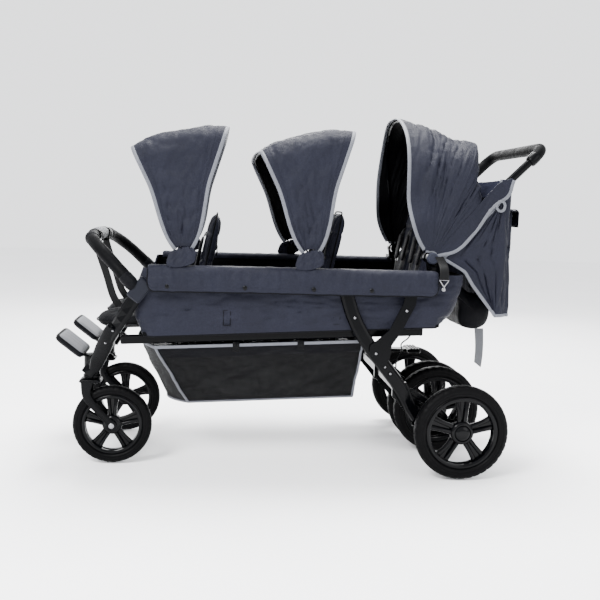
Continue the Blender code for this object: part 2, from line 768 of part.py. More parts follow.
def make_sides():
    """Upper rail with its hinge bracket and canopy posts, lower rail, legs, arm with gusset and collar."""
    sign = SIDES["left"]
    y = sign * RAIL_Y
    rail = tube(
        "left_side_rail", [(RAIL_FRONT_X, y, RAIL_Z), (RAIL_REAR_X, y, RAIL_Z)], 0, FRAME_BLACK,
        profile=(RAIL_H, RAIL_W),
    )
    rail_top = RAIL_Z + RAIL_H / 2
    pieces = []
    for x in CANOPY_X:
        post_y = sign * (RAIL_Y + 0.001)
        half = CANOPY_POST_T / 2
        outline = [
            (x - 0.012, rail_top - 0.006), (x + 0.012, rail_top - 0.006),
            *arc(x, CANOPY_PIVOT_Z, CANOPY_POST_R, -20, 200, 9),
        ]
        hole = (x, CANOPY_PIVOT_Z, PIN_HOLE_R, 12)
        pieces.append(plate("post", outline, post_y - half, post_y + half, FRAME_BLACK, [hole]))
    head_y = sign * BRACKET_Y
    tie_low, tie_high = TUB_TOP_Z + FLAP_T + 2 * GAP, TUB_TOP_Z + FLAP_T + 0.013
    outline = [
        (PIVOT_X - 0.013, tie_low), (PIVOT_X + 0.013, tie_low),
        *arc(PIVOT_X, PIVOT_Z, BRACKET_HEAD_R, -25, 205, 10),
    ]
    hole = (PIVOT_X, PIVOT_Z, PIN_HOLE_R, 12)
    pieces.append(plate(
        "bracket", outline, head_y - BRACKET_T / 2, head_y + BRACKET_T / 2, FRAME_BLACK, [hole],
    ))
    inside, outside = sorted((sign * (BRACKET_Y - BRACKET_T / 2 + 0.001), sign * (RAIL_Y + 0.006)))
    pieces.append(box(
        "tie", (PIVOT_X - 0.012, inside, tie_low), (PIVOT_X + 0.012, outside, tie_high), FRAME_BLACK,
    ))
    foot_low, foot_high = sorted((sign * (RAIL_Y - 0.006), sign * (RAIL_Y + 0.0055)))
    pieces.append(box(
        "foot", (PIVOT_X - 0.0115, foot_low, rail_top - 0.006),
        (PIVOT_X + 0.0115, foot_high, tie_high - 0.001), FRAME_BLACK,
    ))
    rail = fuse(rail, *pieces)

    low = sign * LOWER_RAIL_Y
    drop = GAP + LOWER_RAIL_H / 2
    ends = [(x, low, floor_z(x) - drop) for x in (LOWER_RAIL_FRONT_X, LOWER_RAIL_REAR_X)]
    middle = (Vector(ends[0]) + Vector(ends[1])) / 2
    length = (Vector(ends[1]) - Vector(ends[0])).length
    half = Vector((length / 2, LOWER_RAIL_W / 2, LOWER_RAIL_H / 2))
    tilt = Matrix.Rotation(-math.atan(FLOOR_SLOPE), 4, "Y")
    lower = box("lower", middle - half, middle + half, FRAME_BLACK, 0.003, tilt)
    beside = tube(
        "beside", leg_path(sign, front_leg_knots(), 12), 0, FRAME_BLACK,
        profile=(LEG_W + 2 * GAP, LEG_T + 2 * GAP),
    )
    lower = cut(lower, beside)
    lower.name = "left_lower_rail"

    front = tube(
        "left_front_leg", leg_path(sign, front_leg_knots(), 12), 0, FRAME_BLACK, profile=(LEG_W, LEG_T),
    )
    front = cut(front, cylinder(
        "saddle", (CASTER_X, sign * FRONT_Y, HOUSING_Z - 0.04),
        (CASTER_X, sign * FRONT_Y, HOUSING_Z + HOUSING_H + GAP),
        HOUSING_R + GAP, FRAME_BLACK, 20,
    ))

    arm_top = RAIL_Z - RAIL_H / 2 - GAP
    rear_line = leg_path(sign, rear_leg_knots(), 15)
    rear = tube("left_rear_leg", rear_line, 0, FRAME_BLACK, profile=(LEG_W, LEG_T))
    rear = cut(rear, box(
        "trim", (REAR_LEG_X - 0.06, y - 0.03, arm_top),
        (REAR_LEG_X + 0.06, y + 0.03, arm_top + 0.06), FRAME_BLACK,
    ))

    face = RAIL_Y + LEG_T / 2 + GAP
    arm_outline = [
        (REAR_ARM_X - 0.014, arm_top), (REAR_ARM_X + 0.020, arm_top), (REAR_ARM_X + 0.014, arm_top - 0.055),
        (GUSSET_X + 0.058, GUSSET_Z + 0.062), (GUSSET_X + 0.030, GUSSET_Z + 0.020),
        (GUSSET_X + 0.026, GUSSET_Z - 0.018), (GUSSET_X + 0.010, GUSSET_Z - 0.046),
        (GUSSET_X - 0.014, GUSSET_Z - 0.032), (GUSSET_X - 0.036, GUSSET_Z - 0.002),
        (GUSSET_X - 0.034, GUSSET_Z + 0.020), (GUSSET_X - 0.012, GUSSET_Z + 0.036),
        (GUSSET_X + 0.022, GUSSET_Z + 0.066),
        (REAR_ARM_X - 0.022, arm_top - 0.050),
    ]
    y0, y1 = sorted((sign * face, sign * (face + GUSSET_T)))
    skin = plate("left_rear_arm", arm_outline, y0, y1, FRAME_BLACK)
    rib_path = [
        (REAR_ARM_X + 0.003, sign * RAIL_Y, arm_top + 0.010),
        (REAR_ARM_X - 0.003, sign * RAIL_Y, arm_top - 0.052),
        (GUSSET_X + 0.050, sign * RAIL_Y, GUSSET_Z + 0.075),
    ]
    rib = tube("rib", smooth_path(rib_path, 5), 0, FRAME_BLACK, profile=(0.030, LEG_T + 0.004))
    arm = cut(fuse(skin, rib), box(
        "trim", (REAR_ARM_X - 0.06, y - 0.03, arm_top),
        (REAR_ARM_X + 0.06, y + 0.03, arm_top + 0.06), FRAME_BLACK,
    ))

    centre, half = Vector((COLLAR_X, y, COLLAR_Z)), Vector(COLLAR_HALF)
    turn = Matrix.Rotation(math.radians(COLLAR_TILT), 4, "Y")
    collar = box("collar_block", centre - half, centre + half, COLLAR_GREY, 0.005, turn)
    leg_line = leg_path(sign, front_leg_knots(), 12)
    leg_line[0] += (leg_line[0] - leg_line[1]) * 0.08
    leg_socket = tube("leg_socket", leg_line, 0, COLLAR_GREY, profile=(LEG_W + 4 * GAP, LEG_T + 4 * GAP))
    rail_socket = tube(
        "rail_socket", [(RAIL_FRONT_X - 2 * GAP, y, RAIL_Z), (RAIL_FRONT_X + 0.05, y, RAIL_Z)],
        0, COLLAR_GREY,
        profile=(RAIL_H + 4 * GAP, RAIL_W + 4 * GAP),
    )
    mouth, tip = tongue_ends(sign)
    tongue_socket = cylinder(
        "tongue_socket", Vector(mouth) + BUMPER_OUT * 0.02, Vector(tip) - BUMPER_OUT * 0.002,
        TONGUE_R + 2 * GAP, COLLAR_GREY, 14,
    )
    collar = cut(collar, leg_socket, rail_socket, tongue_socket)
    collar.name = "left_collar"
    for made in (rail, lower, front, rear, arm, collar):
        smooth(made)
        mirror_to_right(made)


def tongue_ends(sign):
    """Mouth of the collar's socket and the inner tip of the bumper bar's tongue."""
    mouth = Vector((COLLAR_X, sign * RAIL_Y, COLLAR_Z)) + BUMPER_OUT * COLLAR_HALF[0]
    return mouth, mouth - BUMPER_OUT * TONGUE_LEN


# Rear subframe
def make_rear_subframe():
    """Cross tube, the three plates that hold the axle and the two ears of the brake pedal."""
    half = CROSS_W / 2
    frame = box(
        "rear_subframe", (CROSS_X - half, -PLATE_Y, CROSS_Z - half),
        (CROSS_X + half, PLATE_Y, CROSS_Z + half),
        FRAME_BLACK, 0.003,
    )
    outline = [
        (CROSS_X - 0.022, CROSS_Z + 0.020), (CROSS_X + 0.020, CROSS_Z + 0.020),
        (REAR_AXLE_X - 0.105, REAR_R + 0.052),
        *arc(REAR_AXLE_X, REAR_R, 0.019, 80, -100, 9),
        (REAR_AXLE_X - 0.130, REAR_R + 0.012), (CROSS_X - 0.022, CROSS_Z - 0.022),
    ]
    pieces = []
    for y in (-PLATE_Y, 0.0, PLATE_Y):
        pieces.append(plate(
            "plate", outline, y - PLATE_T / 2, y + PLATE_T / 2, FRAME_BLACK,
            [(REAR_AXLE_X, REAR_R, AXLE_R + GAP, 16)],
        ))
    ear = [
        (CROSS_X - 0.012, CROSS_Z + 0.006), (CROSS_X + 0.014, CROSS_Z + 0.006),
        *arc(BRAKE_X, BRAKE_Z, 0.013, -40, 150, 8),
    ]
    for edge in SIDES.values():
        y = BRAKE_Y + edge * (BRAKE_HALF + 0.001 + 0.004)
        hole = (BRAKE_X, BRAKE_Z, PIN_R + GAP, 12)
        pieces.append(plate("ear", ear, y - 0.004, y + 0.004, FRAME_BLACK, [hole]))
    smooth(fuse(frame, *pieces))
    reach = REAR_OUTER_Y + 0.5 * REAR_HUB_HALF
    smooth(cylinder(
        "rear_axle", (REAR_AXLE_X, -reach, REAR_R), (REAR_AXLE_X, reach, REAR_R), AXLE_R, STEEL, 16,
    ))


def make_brake_pedal():
    """Foot pedal on a pivot above the cross tube; pressed down it pulls the wheel locks."""
    hub = cylinder(
        "brake_pedal", (BRAKE_X, BRAKE_Y - BRAKE_HALF, BRAKE_Z), (BRAKE_X, BRAKE_Y + BRAKE_HALF, BRAKE_Z),
        0.010, MOULDED_BLACK, 14,
    )
    pin = cylinder(
        "pin", (BRAKE_X, BRAKE_Y - BRAKE_HALF - 0.008, BRAKE_Z),
        (BRAKE_X, BRAKE_Y + BRAKE_HALF + 0.008, BRAKE_Z),
        PIN_R, STEEL, 10,
    )
    arm = box(
        "arm", (BRAKE_X, BRAKE_Y - 0.022, BRAKE_Z - 0.005),
        (BRAKE_X + BRAKE_REACH - 0.02, BRAKE_Y + 0.022, BRAKE_Z + 0.006),
        MOULDED_BLACK, 0.002,
    )
    pad = box(
        "pad", (BRAKE_X + BRAKE_REACH - 0.048, BRAKE_Y - 0.048, BRAKE_Z - 0.006),
        (BRAKE_X + BRAKE_REACH, BRAKE_Y + 0.048, BRAKE_Z + 0.010), MOULDED_BLACK, 0.005,
    )
    ribs = [
        box(
            "rib", (BRAKE_X + BRAKE_REACH - x - 0.003, BRAKE_Y - 0.040, BRAKE_Z + 0.008),
            (BRAKE_X + BRAKE_REACH - x, BRAKE_Y + 0.040, BRAKE_Z + 0.0125), MOULDED_BLACK,
        )
        for x in (0.010, 0.020, 0.030)
    ]
    pedal = smooth(fuse(hub, pin, arm, pad, *ribs))
    hang("brake_axis", (BRAKE_X, BRAKE_Y, BRAKE_Z), pedal)


# Bumper bar and footrests
def make_bumper_bar():
    """Padded U-shaped bar over the front seats, its two tongues seated in the collars."""
    mouth = tongue_ends(-1.0)[0]
    low = mouth + BUMPER_OUT * 2 * GAP
    knots = [
        tuple(low + BUMPER_OUT * 0.012), (-0.560, -0.315, 0.628), (-0.604, -0.272, 0.667),
        (BUMPER_X + 0.002, -BUMPER_Y + 0.012, BUMPER_Z - 0.003),
        (BUMPER_X - 0.004, -BUMPER_Y + 0.085, BUMPER_Z + 0.003),
        (BUMPER_X - 0.006, 0.0, BUMPER_Z + 0.006),
    ]
    knots += [(x, -y, z) for x, y, z in knots[-2::-1]]
    path = [tuple(low), *smooth_path(knots, 25), (low.x, -low.y, low.z)]
    bar = tube("bumper_bar", path, BUMPER_R, FOAM_BLACK)
    tongues = [
        cylinder("tongue", tip, mouth + BUMPER_OUT * 0.02, TONGUE_R, STEEL, 14)
        for mouth, tip in map(tongue_ends, SIDES.values())
    ]
    bar = smooth(fuse(bar, *tongues))
    hang("bumper_slide", (BUMPER_X, 0.0, BUMPER_Z), bar)


def make_footrests():
    """Two padded boards hinged on the front carrier tube, toes up."""
    carrier_z = HOUSING_Z + 0.55 * HOUSING_H
    tilt = math.radians(FOOTREST_TILT)
    out = Vector((-math.cos(tilt), 0, math.sin(tilt)))
    up = Vector((math.sin(tilt), 0, math.cos(tilt)))
    eye_r = CARRIER_TUBE_R + RUN_GAP
    for side, sign in SIDES.items():
        axis = Vector((CASTER_X, sign * FOOTREST_Y, carrier_z))
        inner_y = sign * (FRONT_Y - HOUSING_R - 0.004)
        centre_y = inner_y - sign * FOOTREST_EYE_W / 2
        base = axis + out * FOOTREST_REACH + up * 0.004

        def shape(u, v, face):
            width = FOOTREST_W / 2 * (1 - 0.05 * (1 - v * v)) * u
            along = FOOTREST_LEN * (v + 1) / 2
            round_off = (1 - abs(u) ** 6) ** 0.5 * (1 - abs(v) ** 6) ** 0.5
            lift = FOOTREST_T * (0.20 + 0.80 * round_off) * face
            return base + out * along + up * (lift - FOOTREST_T * 0.3) + Vector((0, width, 0))

        board = padded(f"{side}_footrest", (6, 6), shape, CLOTH_GREY)
        eye = lug("eye", CASTER_X, carrier_z, centre_y, FOOTREST_EYE_W, eye_r + 0.006, eye_r, MOULDED_BLACK)
        eye_half = FOOTREST_EYE_W / 2
        arm = box("arm", (-0.026, -eye_half, -0.004), (0.026, eye_half, 0.004), MOULDED_BLACK)
        arm.data.transform(Matrix.Rotation(tilt, 4, "Y"))
        aside = Vector((0, centre_y - axis.y, 0))
        arm.data.transform(Matrix.Translation(axis + out * (eye_r + 0.028) + aside + up * 0.001))
        made = fuse(board, eye, arm)
        made.name = f"{side}_footrest"
        hang(f"{side}_footrest_axis", (CASTER_X, sign * FOOTREST_Y, carrier_z), made)


# Tub
def tub_outline(inset):
    """Side view of the tub, its floor climbing to the rear and both ends leaning out."""
    low = inset if inset == 0 else TUB_FLOOR_T
    f, r = TUB_FRONT_X + inset, TUB_REAR_X - inset
    top = TUB_TOP_Z + (0.02 if inset else 0.0)
    floor_front, floor_rear = f + 0.020, r - 0.070
    return [
        (f + 0.022, top), (f + 0.006, 0.56), (f, 0.50), (f + 0.003, floor_z(f) + 0.030 + low),
        (floor_front, floor_z(floor_front) + low), (floor_rear, floor_z(floor_rear) + low),
        (r - 0.034, TUB_WAIST_Z), (r - 0.002, TUB_BREAST_Z), (r, top),
    ]


def make_tub():
    """Cloth tub, open above and at the front, with the padded flaps that hang over both side rails."""
    tub = plate("tub_liner", tub_outline(0.0), -TUB_HALF, TUB_HALF, CLOTH_DARK)
    inner_half = TUB_HALF - TUB_WALL
    hollow = plate("hollow", tub_outline(TUB_WALL), -inner_half, inner_half, CLOTH_DARK)
    mouth = box(
        "mouth", (TUB_FRONT_X - 0.05, -FRONT_OPENING_HALF, floor_z(TUB_FRONT_X) + TUB_FLOOR_T - 0.001),
        (TUB_FRONT_X + 0.06, FRONT_OPENING_HALF, TUB_TOP_Z + 0.05), CLOTH_DARK,
    )
    tub = cut(tub, hollow, mouth)
    flap_in = TUB_HALF - TUB_WALL + 0.002
    flap_out = RAIL_Y + RAIL_W / 2 + 0.0085 + FLAP_T
    low = TUB_TOP_Z + FLAP_T - FLAP_DROP - FLAP_T
    flaps, slots = [], []
    for sign in SIDES.values():
        outline = [
            (FLAP_FRONT_X + 0.008, TUB_TOP_Z + FLAP_T), (FLAP_FRONT_X, TUB_TOP_Z - 0.006),
            (FLAP_FRONT_X + 0.004, low + 0.020),
            (FLAP_FRONT_X + 0.020, low), (FLAP_REAR_X - 0.022, low), (FLAP_REAR_X - 0.004, low + 0.018),
            (FLAP_REAR_X, TUB_TOP_Z - 0.006), (FLAP_REAR_X - 0.008, TUB_TOP_Z + FLAP_T),
        ]
        y0, y1 = sorted((sign * flap_in, sign * flap_out))
        flap = plate("flap", outline, y0, y1, CLOTH_DARK)
        c0, c1 = sorted((sign * (TUB_HALF - 0.001), sign * (flap_out - FLAP_T)))
        start, end = FLAP_FRONT_X - 0.05, FLAP_REAR_X + 0.05
        channel = box("channel", (start, c0, low - 0.05), (end, c1, TUB_TOP_Z), CLOTH_DARK)
        s0, s1 = sorted((sign * (flap_in - 0.05), sign * (TUB_HALF)))
        spare = box("spare", (start, s0, low - 0.05), (end, s1, TUB_TOP_Z - 0.004), CLOTH_DARK)
        flaps.append(cut(flap, channel, spare))
        for x in CANOPY_X:
            p0, p1 = sorted((sign * (RAIL_Y + 0.001 - 0.0065), sign * (RAIL_Y + 0.001 + 0.0065)))
            below, above = (x - 0.019, p0, TUB_TOP_Z - 0.01), (x + 0.019, p1, TUB_TOP_Z + 0.03)
            slots.append(box("slot", below, above, CLOTH_DARK))
        p0, p1 = sorted((sign * (RAIL_Y - 0.0065), sign * (RAIL_Y + 0.0065)))
        below = (PIVOT_X - 0.0125, p0, TUB_TOP_Z - 0.01)
        above = (PIVOT_X + 0.02, p1, TUB_TOP_Z + 0.03)
        slots.append(box("slot", below, above, CLOTH_DARK))
    tub = cut(fuse(tub, *flaps), *slots)
    return smooth(tub, 30.0)


# Seats
def make_cushion(row):
    """Bench cushion for one row: crowned, drawn in at the sides, sewn down the middle and across."""
    half, depth = CUSHION_HALF[row], CUSHION_DEPTH[row]
    rear = ROW_X[row] - 0.024
    first = row == 0

    def shape(u, v, face):
        y = half * u * (1 - 0.025 * (1 - v * v))
        if first:
            y *= 1 - 0.14 * max(0.0, -v) ** 2
        x = rear - depth * (1 - v) / 2 * (1 - 0.02 * (1 - u * u))
        if first and v < 0:
            x += v * v * (0.085 * math.exp(-(u / 0.24) ** 2) + 0.035 * abs(u) ** 5 - 0.022)
        crown = (1 - abs(u) ** 6) ** 0.45 * (1 - abs(v) ** 6) ** 0.45
        seam = 0.30 * math.exp(-(u / 0.07) ** 2)
        channels = 0.13 * sum(math.exp(-((v - c) / 0.10) ** 2) for c in (-0.35, 0.35))
        height = CUSHION_T * (0.30 + 0.70 * crown * (1 - seam - channels))
        return x, y, floor_z(x) + TUB_FLOOR_T + GAP + height * face

    return padded(f"seat_cushion_row_{row + 1}", (13, 8), shape, CLOTH_DARK)


def make_backrest(row, side, sign):
    """Padded backrest on a round hinge roll that lies on the tub's floor."""
    x = ROW_X[row]
    z = floor_z(x) + TUB_FLOOR_T + GAP * 2 + HINGE_ROLL_R
    lean = math.radians(BACKREST_LEAN)
    up = Vector((math.cos(lean), 0, math.sin(lean)))
    front = Vector((-math.sin(lean), 0, math.cos(lean)))
    foot = Vector((x, sign * BACKREST_Y, z))
    half = BACKREST_W / 2

    def shape(u, v, face):
        along = BACKREST_LEN * (v + 1) / 2
        shoulder = 1 - 0.16 * max(0.0, v) ** 4
        width = half * u * (1 - 0.03 * (1 - v * v)) * shoulder
        crown = (1 - abs(u) ** 6) ** 0.45 * (1 - max(v, 0.0) ** 8) ** 0.45
        channels = 0.22 * sum(math.exp(-((v - c) / 0.09) ** 2) for c in (-0.40, 0.10, 0.58))
        swell = 0.35 + 0.65 * crown * (1 - channels)
        depth = BACKREST_T / 2 * (swell if face else -(0.35 + 0.55 * crown))
        taper = 0.62 + 0.38 * min(1.0, (v + 1) / 0.5)
        return foot + up * along + Vector((0, width, 0)) + front * depth * taper

    pad = padded("pad", (7, 10), shape, CLOTH_DARK)
    aside = Vector((0, half * 0.94, 0))
    roll = cylinder("roll", foot - aside, foot + aside, HINGE_ROLL_R, CLOTH_DARK, 14)
    made = smooth(fuse(pad, roll), 50.0)
    made.name = f"row_{row + 1}_{side}_backrest"
    hang(f"row_{row + 1}_{side}_recline_axis", tuple(foot), made)


# Push handle, hood and cape
def make_handle():
    """Push handle: two tubes from the pivots joined by a crossbar, with a foam grip over the top."""
    lug_r = 0.017
    line = hoop_curve(HANDLE_LEN, HANDLE_Y, 0.050, 0.0, start=lug_r * 0.72, arc_rows=6)
    whole = hoop_points(line, HANDLE_ANGLE, PIVOT_X, PIVOT_Z)
    handle = tube("handle_tube", whole, HANDLE_TUBE_R, FRAME_BLACK)
    eyes = [
        lug("eye", PIVOT_X, PIVOT_Z, sign * HANDLE_Y, HANDLE_LUG_T, lug_r, PIN_R + GAP, FRAME_BLACK)
        for sign in SIDES.values()
    ]
    handle = smooth(fuse(handle, *eyes))
    starts = {"left": 0.422, "right": 0.352}
    tops = {}
    for side, sign in SIDES.items():
        full = hoop_curve(HANDLE_LEN, HANDLE_Y, 0.050, 0.0, start=starts[side], arc_rows=6)
        half = full[: len(full) // 2 + 1]
        tops[side] = [(s, sign * y) for s, y in half]
    grip_line = tops["left"] + tops["right"][-2::-1]
    points = hoop_points(grip_line, HANDLE_ANGLE, PIVOT_X, PIVOT_Z)
    grip = tube("handle_grip", points, GRIP_R, FOAM_BLACK)
    bore = tube("bore", whole, HANDLE_TUBE_R + 2.5 * GAP, FOAM_BLACK)
    grip = smooth(cut(grip, bore))
    hang("handle_axis", (PIVOT_X, 0.0, PIVOT_Z), handle, grip)


def make_hood():
    """Hood: mid bow and front bow on the handle's pivot, and the cloth shell over them."""
    lug_size = (BOW_LUG_R, BOW_LUG_T)
    handle_side = HANDLE_Y - HANDLE_LUG_T / 2
    pin = (BRACKET_Y + BRACKET_T / 2 - 0.001, handle_side - 0.009, handle_side - RUN_GAP)
    mid = make_bow(
        "hood_mid_bow", PIVOT_X, PIVOT_Z, MID_BOW_ANGLE, MID_BOW_LEN, MID_BOW_Y, MID_BOW_CORNER,
        MID_BOW_CROWN, BOW_R, lug_size, FRAME_BLACK, pin, arc_rows=6,
    )
    arch = dict(foot=FRONT_BOW_Y, rows=5, arc_rows=9)
    front = make_bow(
        "hood_front_bow", PIVOT_X, PIVOT_Z, FRONT_BOW_ANGLE, FRONT_BOW_LEN, FRONT_ARCH_Y,
        FRONT_ARCH_R, FRONT_BOW_CROWN, BOW_R, lug_size, FRAME_BLACK, **arch,
    )
    over = BOW_R + CLOTH_T / 2 + 3 * GAP
    arch["foot"] = FRONT_BOW_Y + over
    stations = [
        (FRONT_BOW_ANGLE + 1.2, FRONT_BOW_LEN + 0.001, FRONT_ARCH_Y, FRONT_ARCH_R, FRONT_BOW_CROWN),
        (FRONT_BOW_ANGLE, FRONT_BOW_LEN, FRONT_ARCH_Y, FRONT_ARCH_R, FRONT_BOW_CROWN),
        (92.5, 0.4085, 0.2490, 0.190, 0.004), (86.0, 0.3900, 0.2560, 0.165, 0.006),
        (80.5, 0.3750, 0.2620, 0.140, 0.008), (74.5, 0.3670, 0.2700, 0.118, 0.012),
        (MID_BOW_ANGLE, MID_BOW_LEN + 0.001, FRONT_BOW_Y, MID_BOW_CORNER, MID_BOW_CROWN),
        (MID_BOW_ANGLE - 0.9, MID_BOW_LEN - 0.001, FRONT_BOW_Y, MID_BOW_CORNER, MID_BOW_CROWN),
        (61.5, 0.300, FRONT_BOW_Y, 0.055, 0.007), (55.5, 0.256, FRONT_BOW_Y, 0.050, 0.002),
        (HOOD_REAR_ANGLE, HOOD_REAR_LEN, FRONT_BOW_Y, 0.030, 0.0),
    ]
    rows = []
    for angle, length, half, corner, bend in stations:
        line = hoop_curve(length + over, half + over, corner + over, bend, start=0.036, **arch)
        flare = HOOD_FLARE * max(0.0, (angle - MID_BOW_ANGLE) / (FRONT_BOW_ANGLE - MID_BOW_ANGLE)) ** 3
        rows.append(hoop_points(line, angle, PIVOT_X, PIVOT_Z, flare, length))
    cloth = sheet("hood_fabric", np.array(rows), CLOTH_DARK)
    hang("hood_mid_axis", (PIVOT_X, 0.0, PIVOT_Z), mid, cloth)
    hang("hood_front_axis", (PIVOT_X, 0.0, PIVOT_Z), front)


def cape_edge(z):
    """x where the cape's side begins at height z: behind the handle tube, then along its sloping hem."""
    along_tube = PIVOT_X + 0.0393 + (z - PIVOT_Z) / math.tan(math.radians(HANDLE_ANGLE))
    heights = (CAPE_HEM_Z, 0.489, 0.580, TUB_TOP_Z + 0.006, PIVOT_Z)
    hem = np.interp(z, heights, (0.600, 0.590, 0.516, TUB_REAR_X + 0.016, 0.0))
    return along_tube if z > PIVOT_Z - 0.001 else max(hem, PIVOT_X + 0.040)


def make_cape():
    """Cape hung from the handle tubes behind the last row: a back curtain whose sides wrap forward."""
    heights = np.concatenate([
        np.linspace(CAPE_TOP_Z, PIVOT_Z, 5),
        [TUB_TOP_Z + 0.024, TUB_TOP_Z + 0.006, 0.580, 0.535, 0.489, CAPE_HEM_Z],
    ])
    corner = 0.035
    rows = []
    for z in heights:
        reach = min(cape_edge(z), CAPE_BACK_X - corner - 0.004)
        fall = (CAPE_TOP_Z - z) / (CAPE_TOP_Z - CAPE_HEM_Z)
        side = [(x, CAPE_HALF) for x in np.linspace(reach, CAPE_BACK_X - corner, 3)]
        turn = [
            (CAPE_BACK_X - corner + corner * math.sin(t), CAPE_HALF - corner + corner * math.cos(t))
            for t in np.linspace(0, math.pi / 2, 4)[1:]
        ]
        flat = [(CAPE_BACK_X, y) for y in np.linspace(CAPE_HALF - corner, 0, 6)[1:]]
        half = side + turn + flat
        fold = 0.009 * fall
        half = [
            (x + (fold * (1 - math.cos(y / CAPE_HALF * 3 * math.pi)) if x > CAPE_BACK_X - 0.001 else 0.0), y)
            for x, y in half
        ]
        line = half + [(x, -y) for x, y in half[-2::-1]]
        rows.append([(x, y, z) for x, y in line])
    cape = sheet("rear_cape", np.array(rows), CLOTH_DARK)
    bag_x = CAPE_BACK_X + CLOTH_T / 2 + 0.009 * 2 * (CAPE_TOP_Z - BAG_Z[0]) / (CAPE_TOP_Z - CAPE_HEM_Z)
    bag_low, bag_high = BAG_Z

    def shape(u, v, face):
        round_off = (1 - abs(u) ** 6) ** 0.5 * (1 - abs(v) ** 6) ** 0.5
        z = (bag_low + bag_high) / 2 + (bag_high - bag_low) / 2 * v * (1 - 0.03 * (1 - u * u))
        y = BAG_HALF * u * (1 - 0.02 * (1 - v * v))
        sag = 1.0 + 0.15 * (1 - v) / 2
        return bag_x + GAP + BAG_DEPTH * (0.16 + 0.84 * round_off * sag) * face, y, z

    bag = padded("storage_bag", (8, 6), shape, CLOTH_DARK)
    flap = box(
        "flap", (bag_x + 2 * GAP, -BAG_HALF - 0.003, bag_high - 0.045),
        (bag_x + BAG_DEPTH + 0.004, BAG_HALF + 0.003, bag_high + 0.004),
        CLOTH_DARK, 0.008,
    )
    bag = smooth(fuse(bag, flap))
    hang("handle_axis", (PIVOT_X, 0.0, PIVOT_Z), cape, bag)


def make_pouch():
    """Soft roll slung from a flap on the tub's sloping rear wall."""
    lean = 0.032 / (TUB_BREAST_Z - TUB_WAIST_Z)

    def wall(z):
        return TUB_REAR_X - 0.002 - (TUB_BREAST_Z - z) * lean + 2 * GAP

    x = TUB_REAR_X + 0.089
    outline = [
        (wall(0.570), 0.570), (wall(0.594), 0.594), (wall(0.594) + 0.010, 0.596),
        (x - 0.020, 0.545), (x + 0.022, 0.533),
        (x + 0.046, 0.508), (x + 0.050, 0.474), (x + 0.038, 0.442), (x + 0.006, 0.427), (x - 0.034, 0.434),
        (x - 0.051, 0.462), (x - 0.051, 0.500), (x - 0.036, 0.530),
    ]
    pouch = plate("rear_pouch", outline, -POUCH_HALF, POUCH_HALF, CLOTH_DARK)
    return smooth(rounded(pouch, 0.010, 2), 45.0)


# Small canopies
def make_canopy(number, x):
    """Canopy over one row: two hoops on shared pivots and the cloth between them."""
    lug_size = (CANOPY_POST_R - 0.003, HOOP_LUG_T)
    outer = HOOP_OUTER_Y - HOOP_LUG_T / 2
    inner = outer - HOOP_LUG_T - HOOP_GAP_Y / 2
    pin = (RAIL_Y + CANOPY_POST_T / 2, HOOP_OUTER_Y - 2 * HOOP_LUG_T - HOOP_GAP_Y)
    rear = make_bow(
        f"canopy_{number}_rear_hoop", x, CANOPY_PIVOT_Z, REAR_HOOP_ANGLE, REAR_HOOP_LEN,
        outer, 0.045, 0.010, HOOP_R,
        lug_size, FRAME_BLACK, pin,
    )
    front = make_bow(
        f"canopy_{number}_front_hoop", x, CANOPY_PIVOT_Z, FRONT_HOOP_ANGLE, FRONT_HOOP_LEN,
        inner, 0.045, 0.010, HOOP_R,
        lug_size, FRAME_BLACK,
    )
    over = HOOP_R + CLOTH_T / 2 + 3 * GAP
    half = outer + over
    rows = []
    for share in (-0.03, 0.0, 0.28, 0.52, 0.76, 1.0, 1.03):
        angle = FRONT_HOOP_ANGLE + (REAR_HOOP_ANGLE - FRONT_HOOP_ANGLE) * share
        length = FRONT_HOOP_LEN + (REAR_HOOP_LEN - FRONT_HOOP_LEN) * share
        sag = 0.008 * max(0.0, math.sin(math.pi * share)) ** 2
        line = hoop_curve(length + over - sag, half, 0.045 + over, 0.010, start=0.034, rows=3, arc_rows=4)
        flare = CANOPY_FLARE * (1 - 2 * share)
        rows.append(hoop_points(line, angle, x, CANOPY_PIVOT_Z, flare, CANOPY_FLARE_REACH))
    cloth = sheet(f"canopy_{number}_fabric", np.array(rows), CLOTH_DARK)
    hang(f"canopy_{number}_tilt_axis", (x, 0.0, CANOPY_PIVOT_Z), rear, cloth)
    hang(f"canopy_{number}_close_axis", (x, 0.0, CANOPY_PIVOT_Z), front)


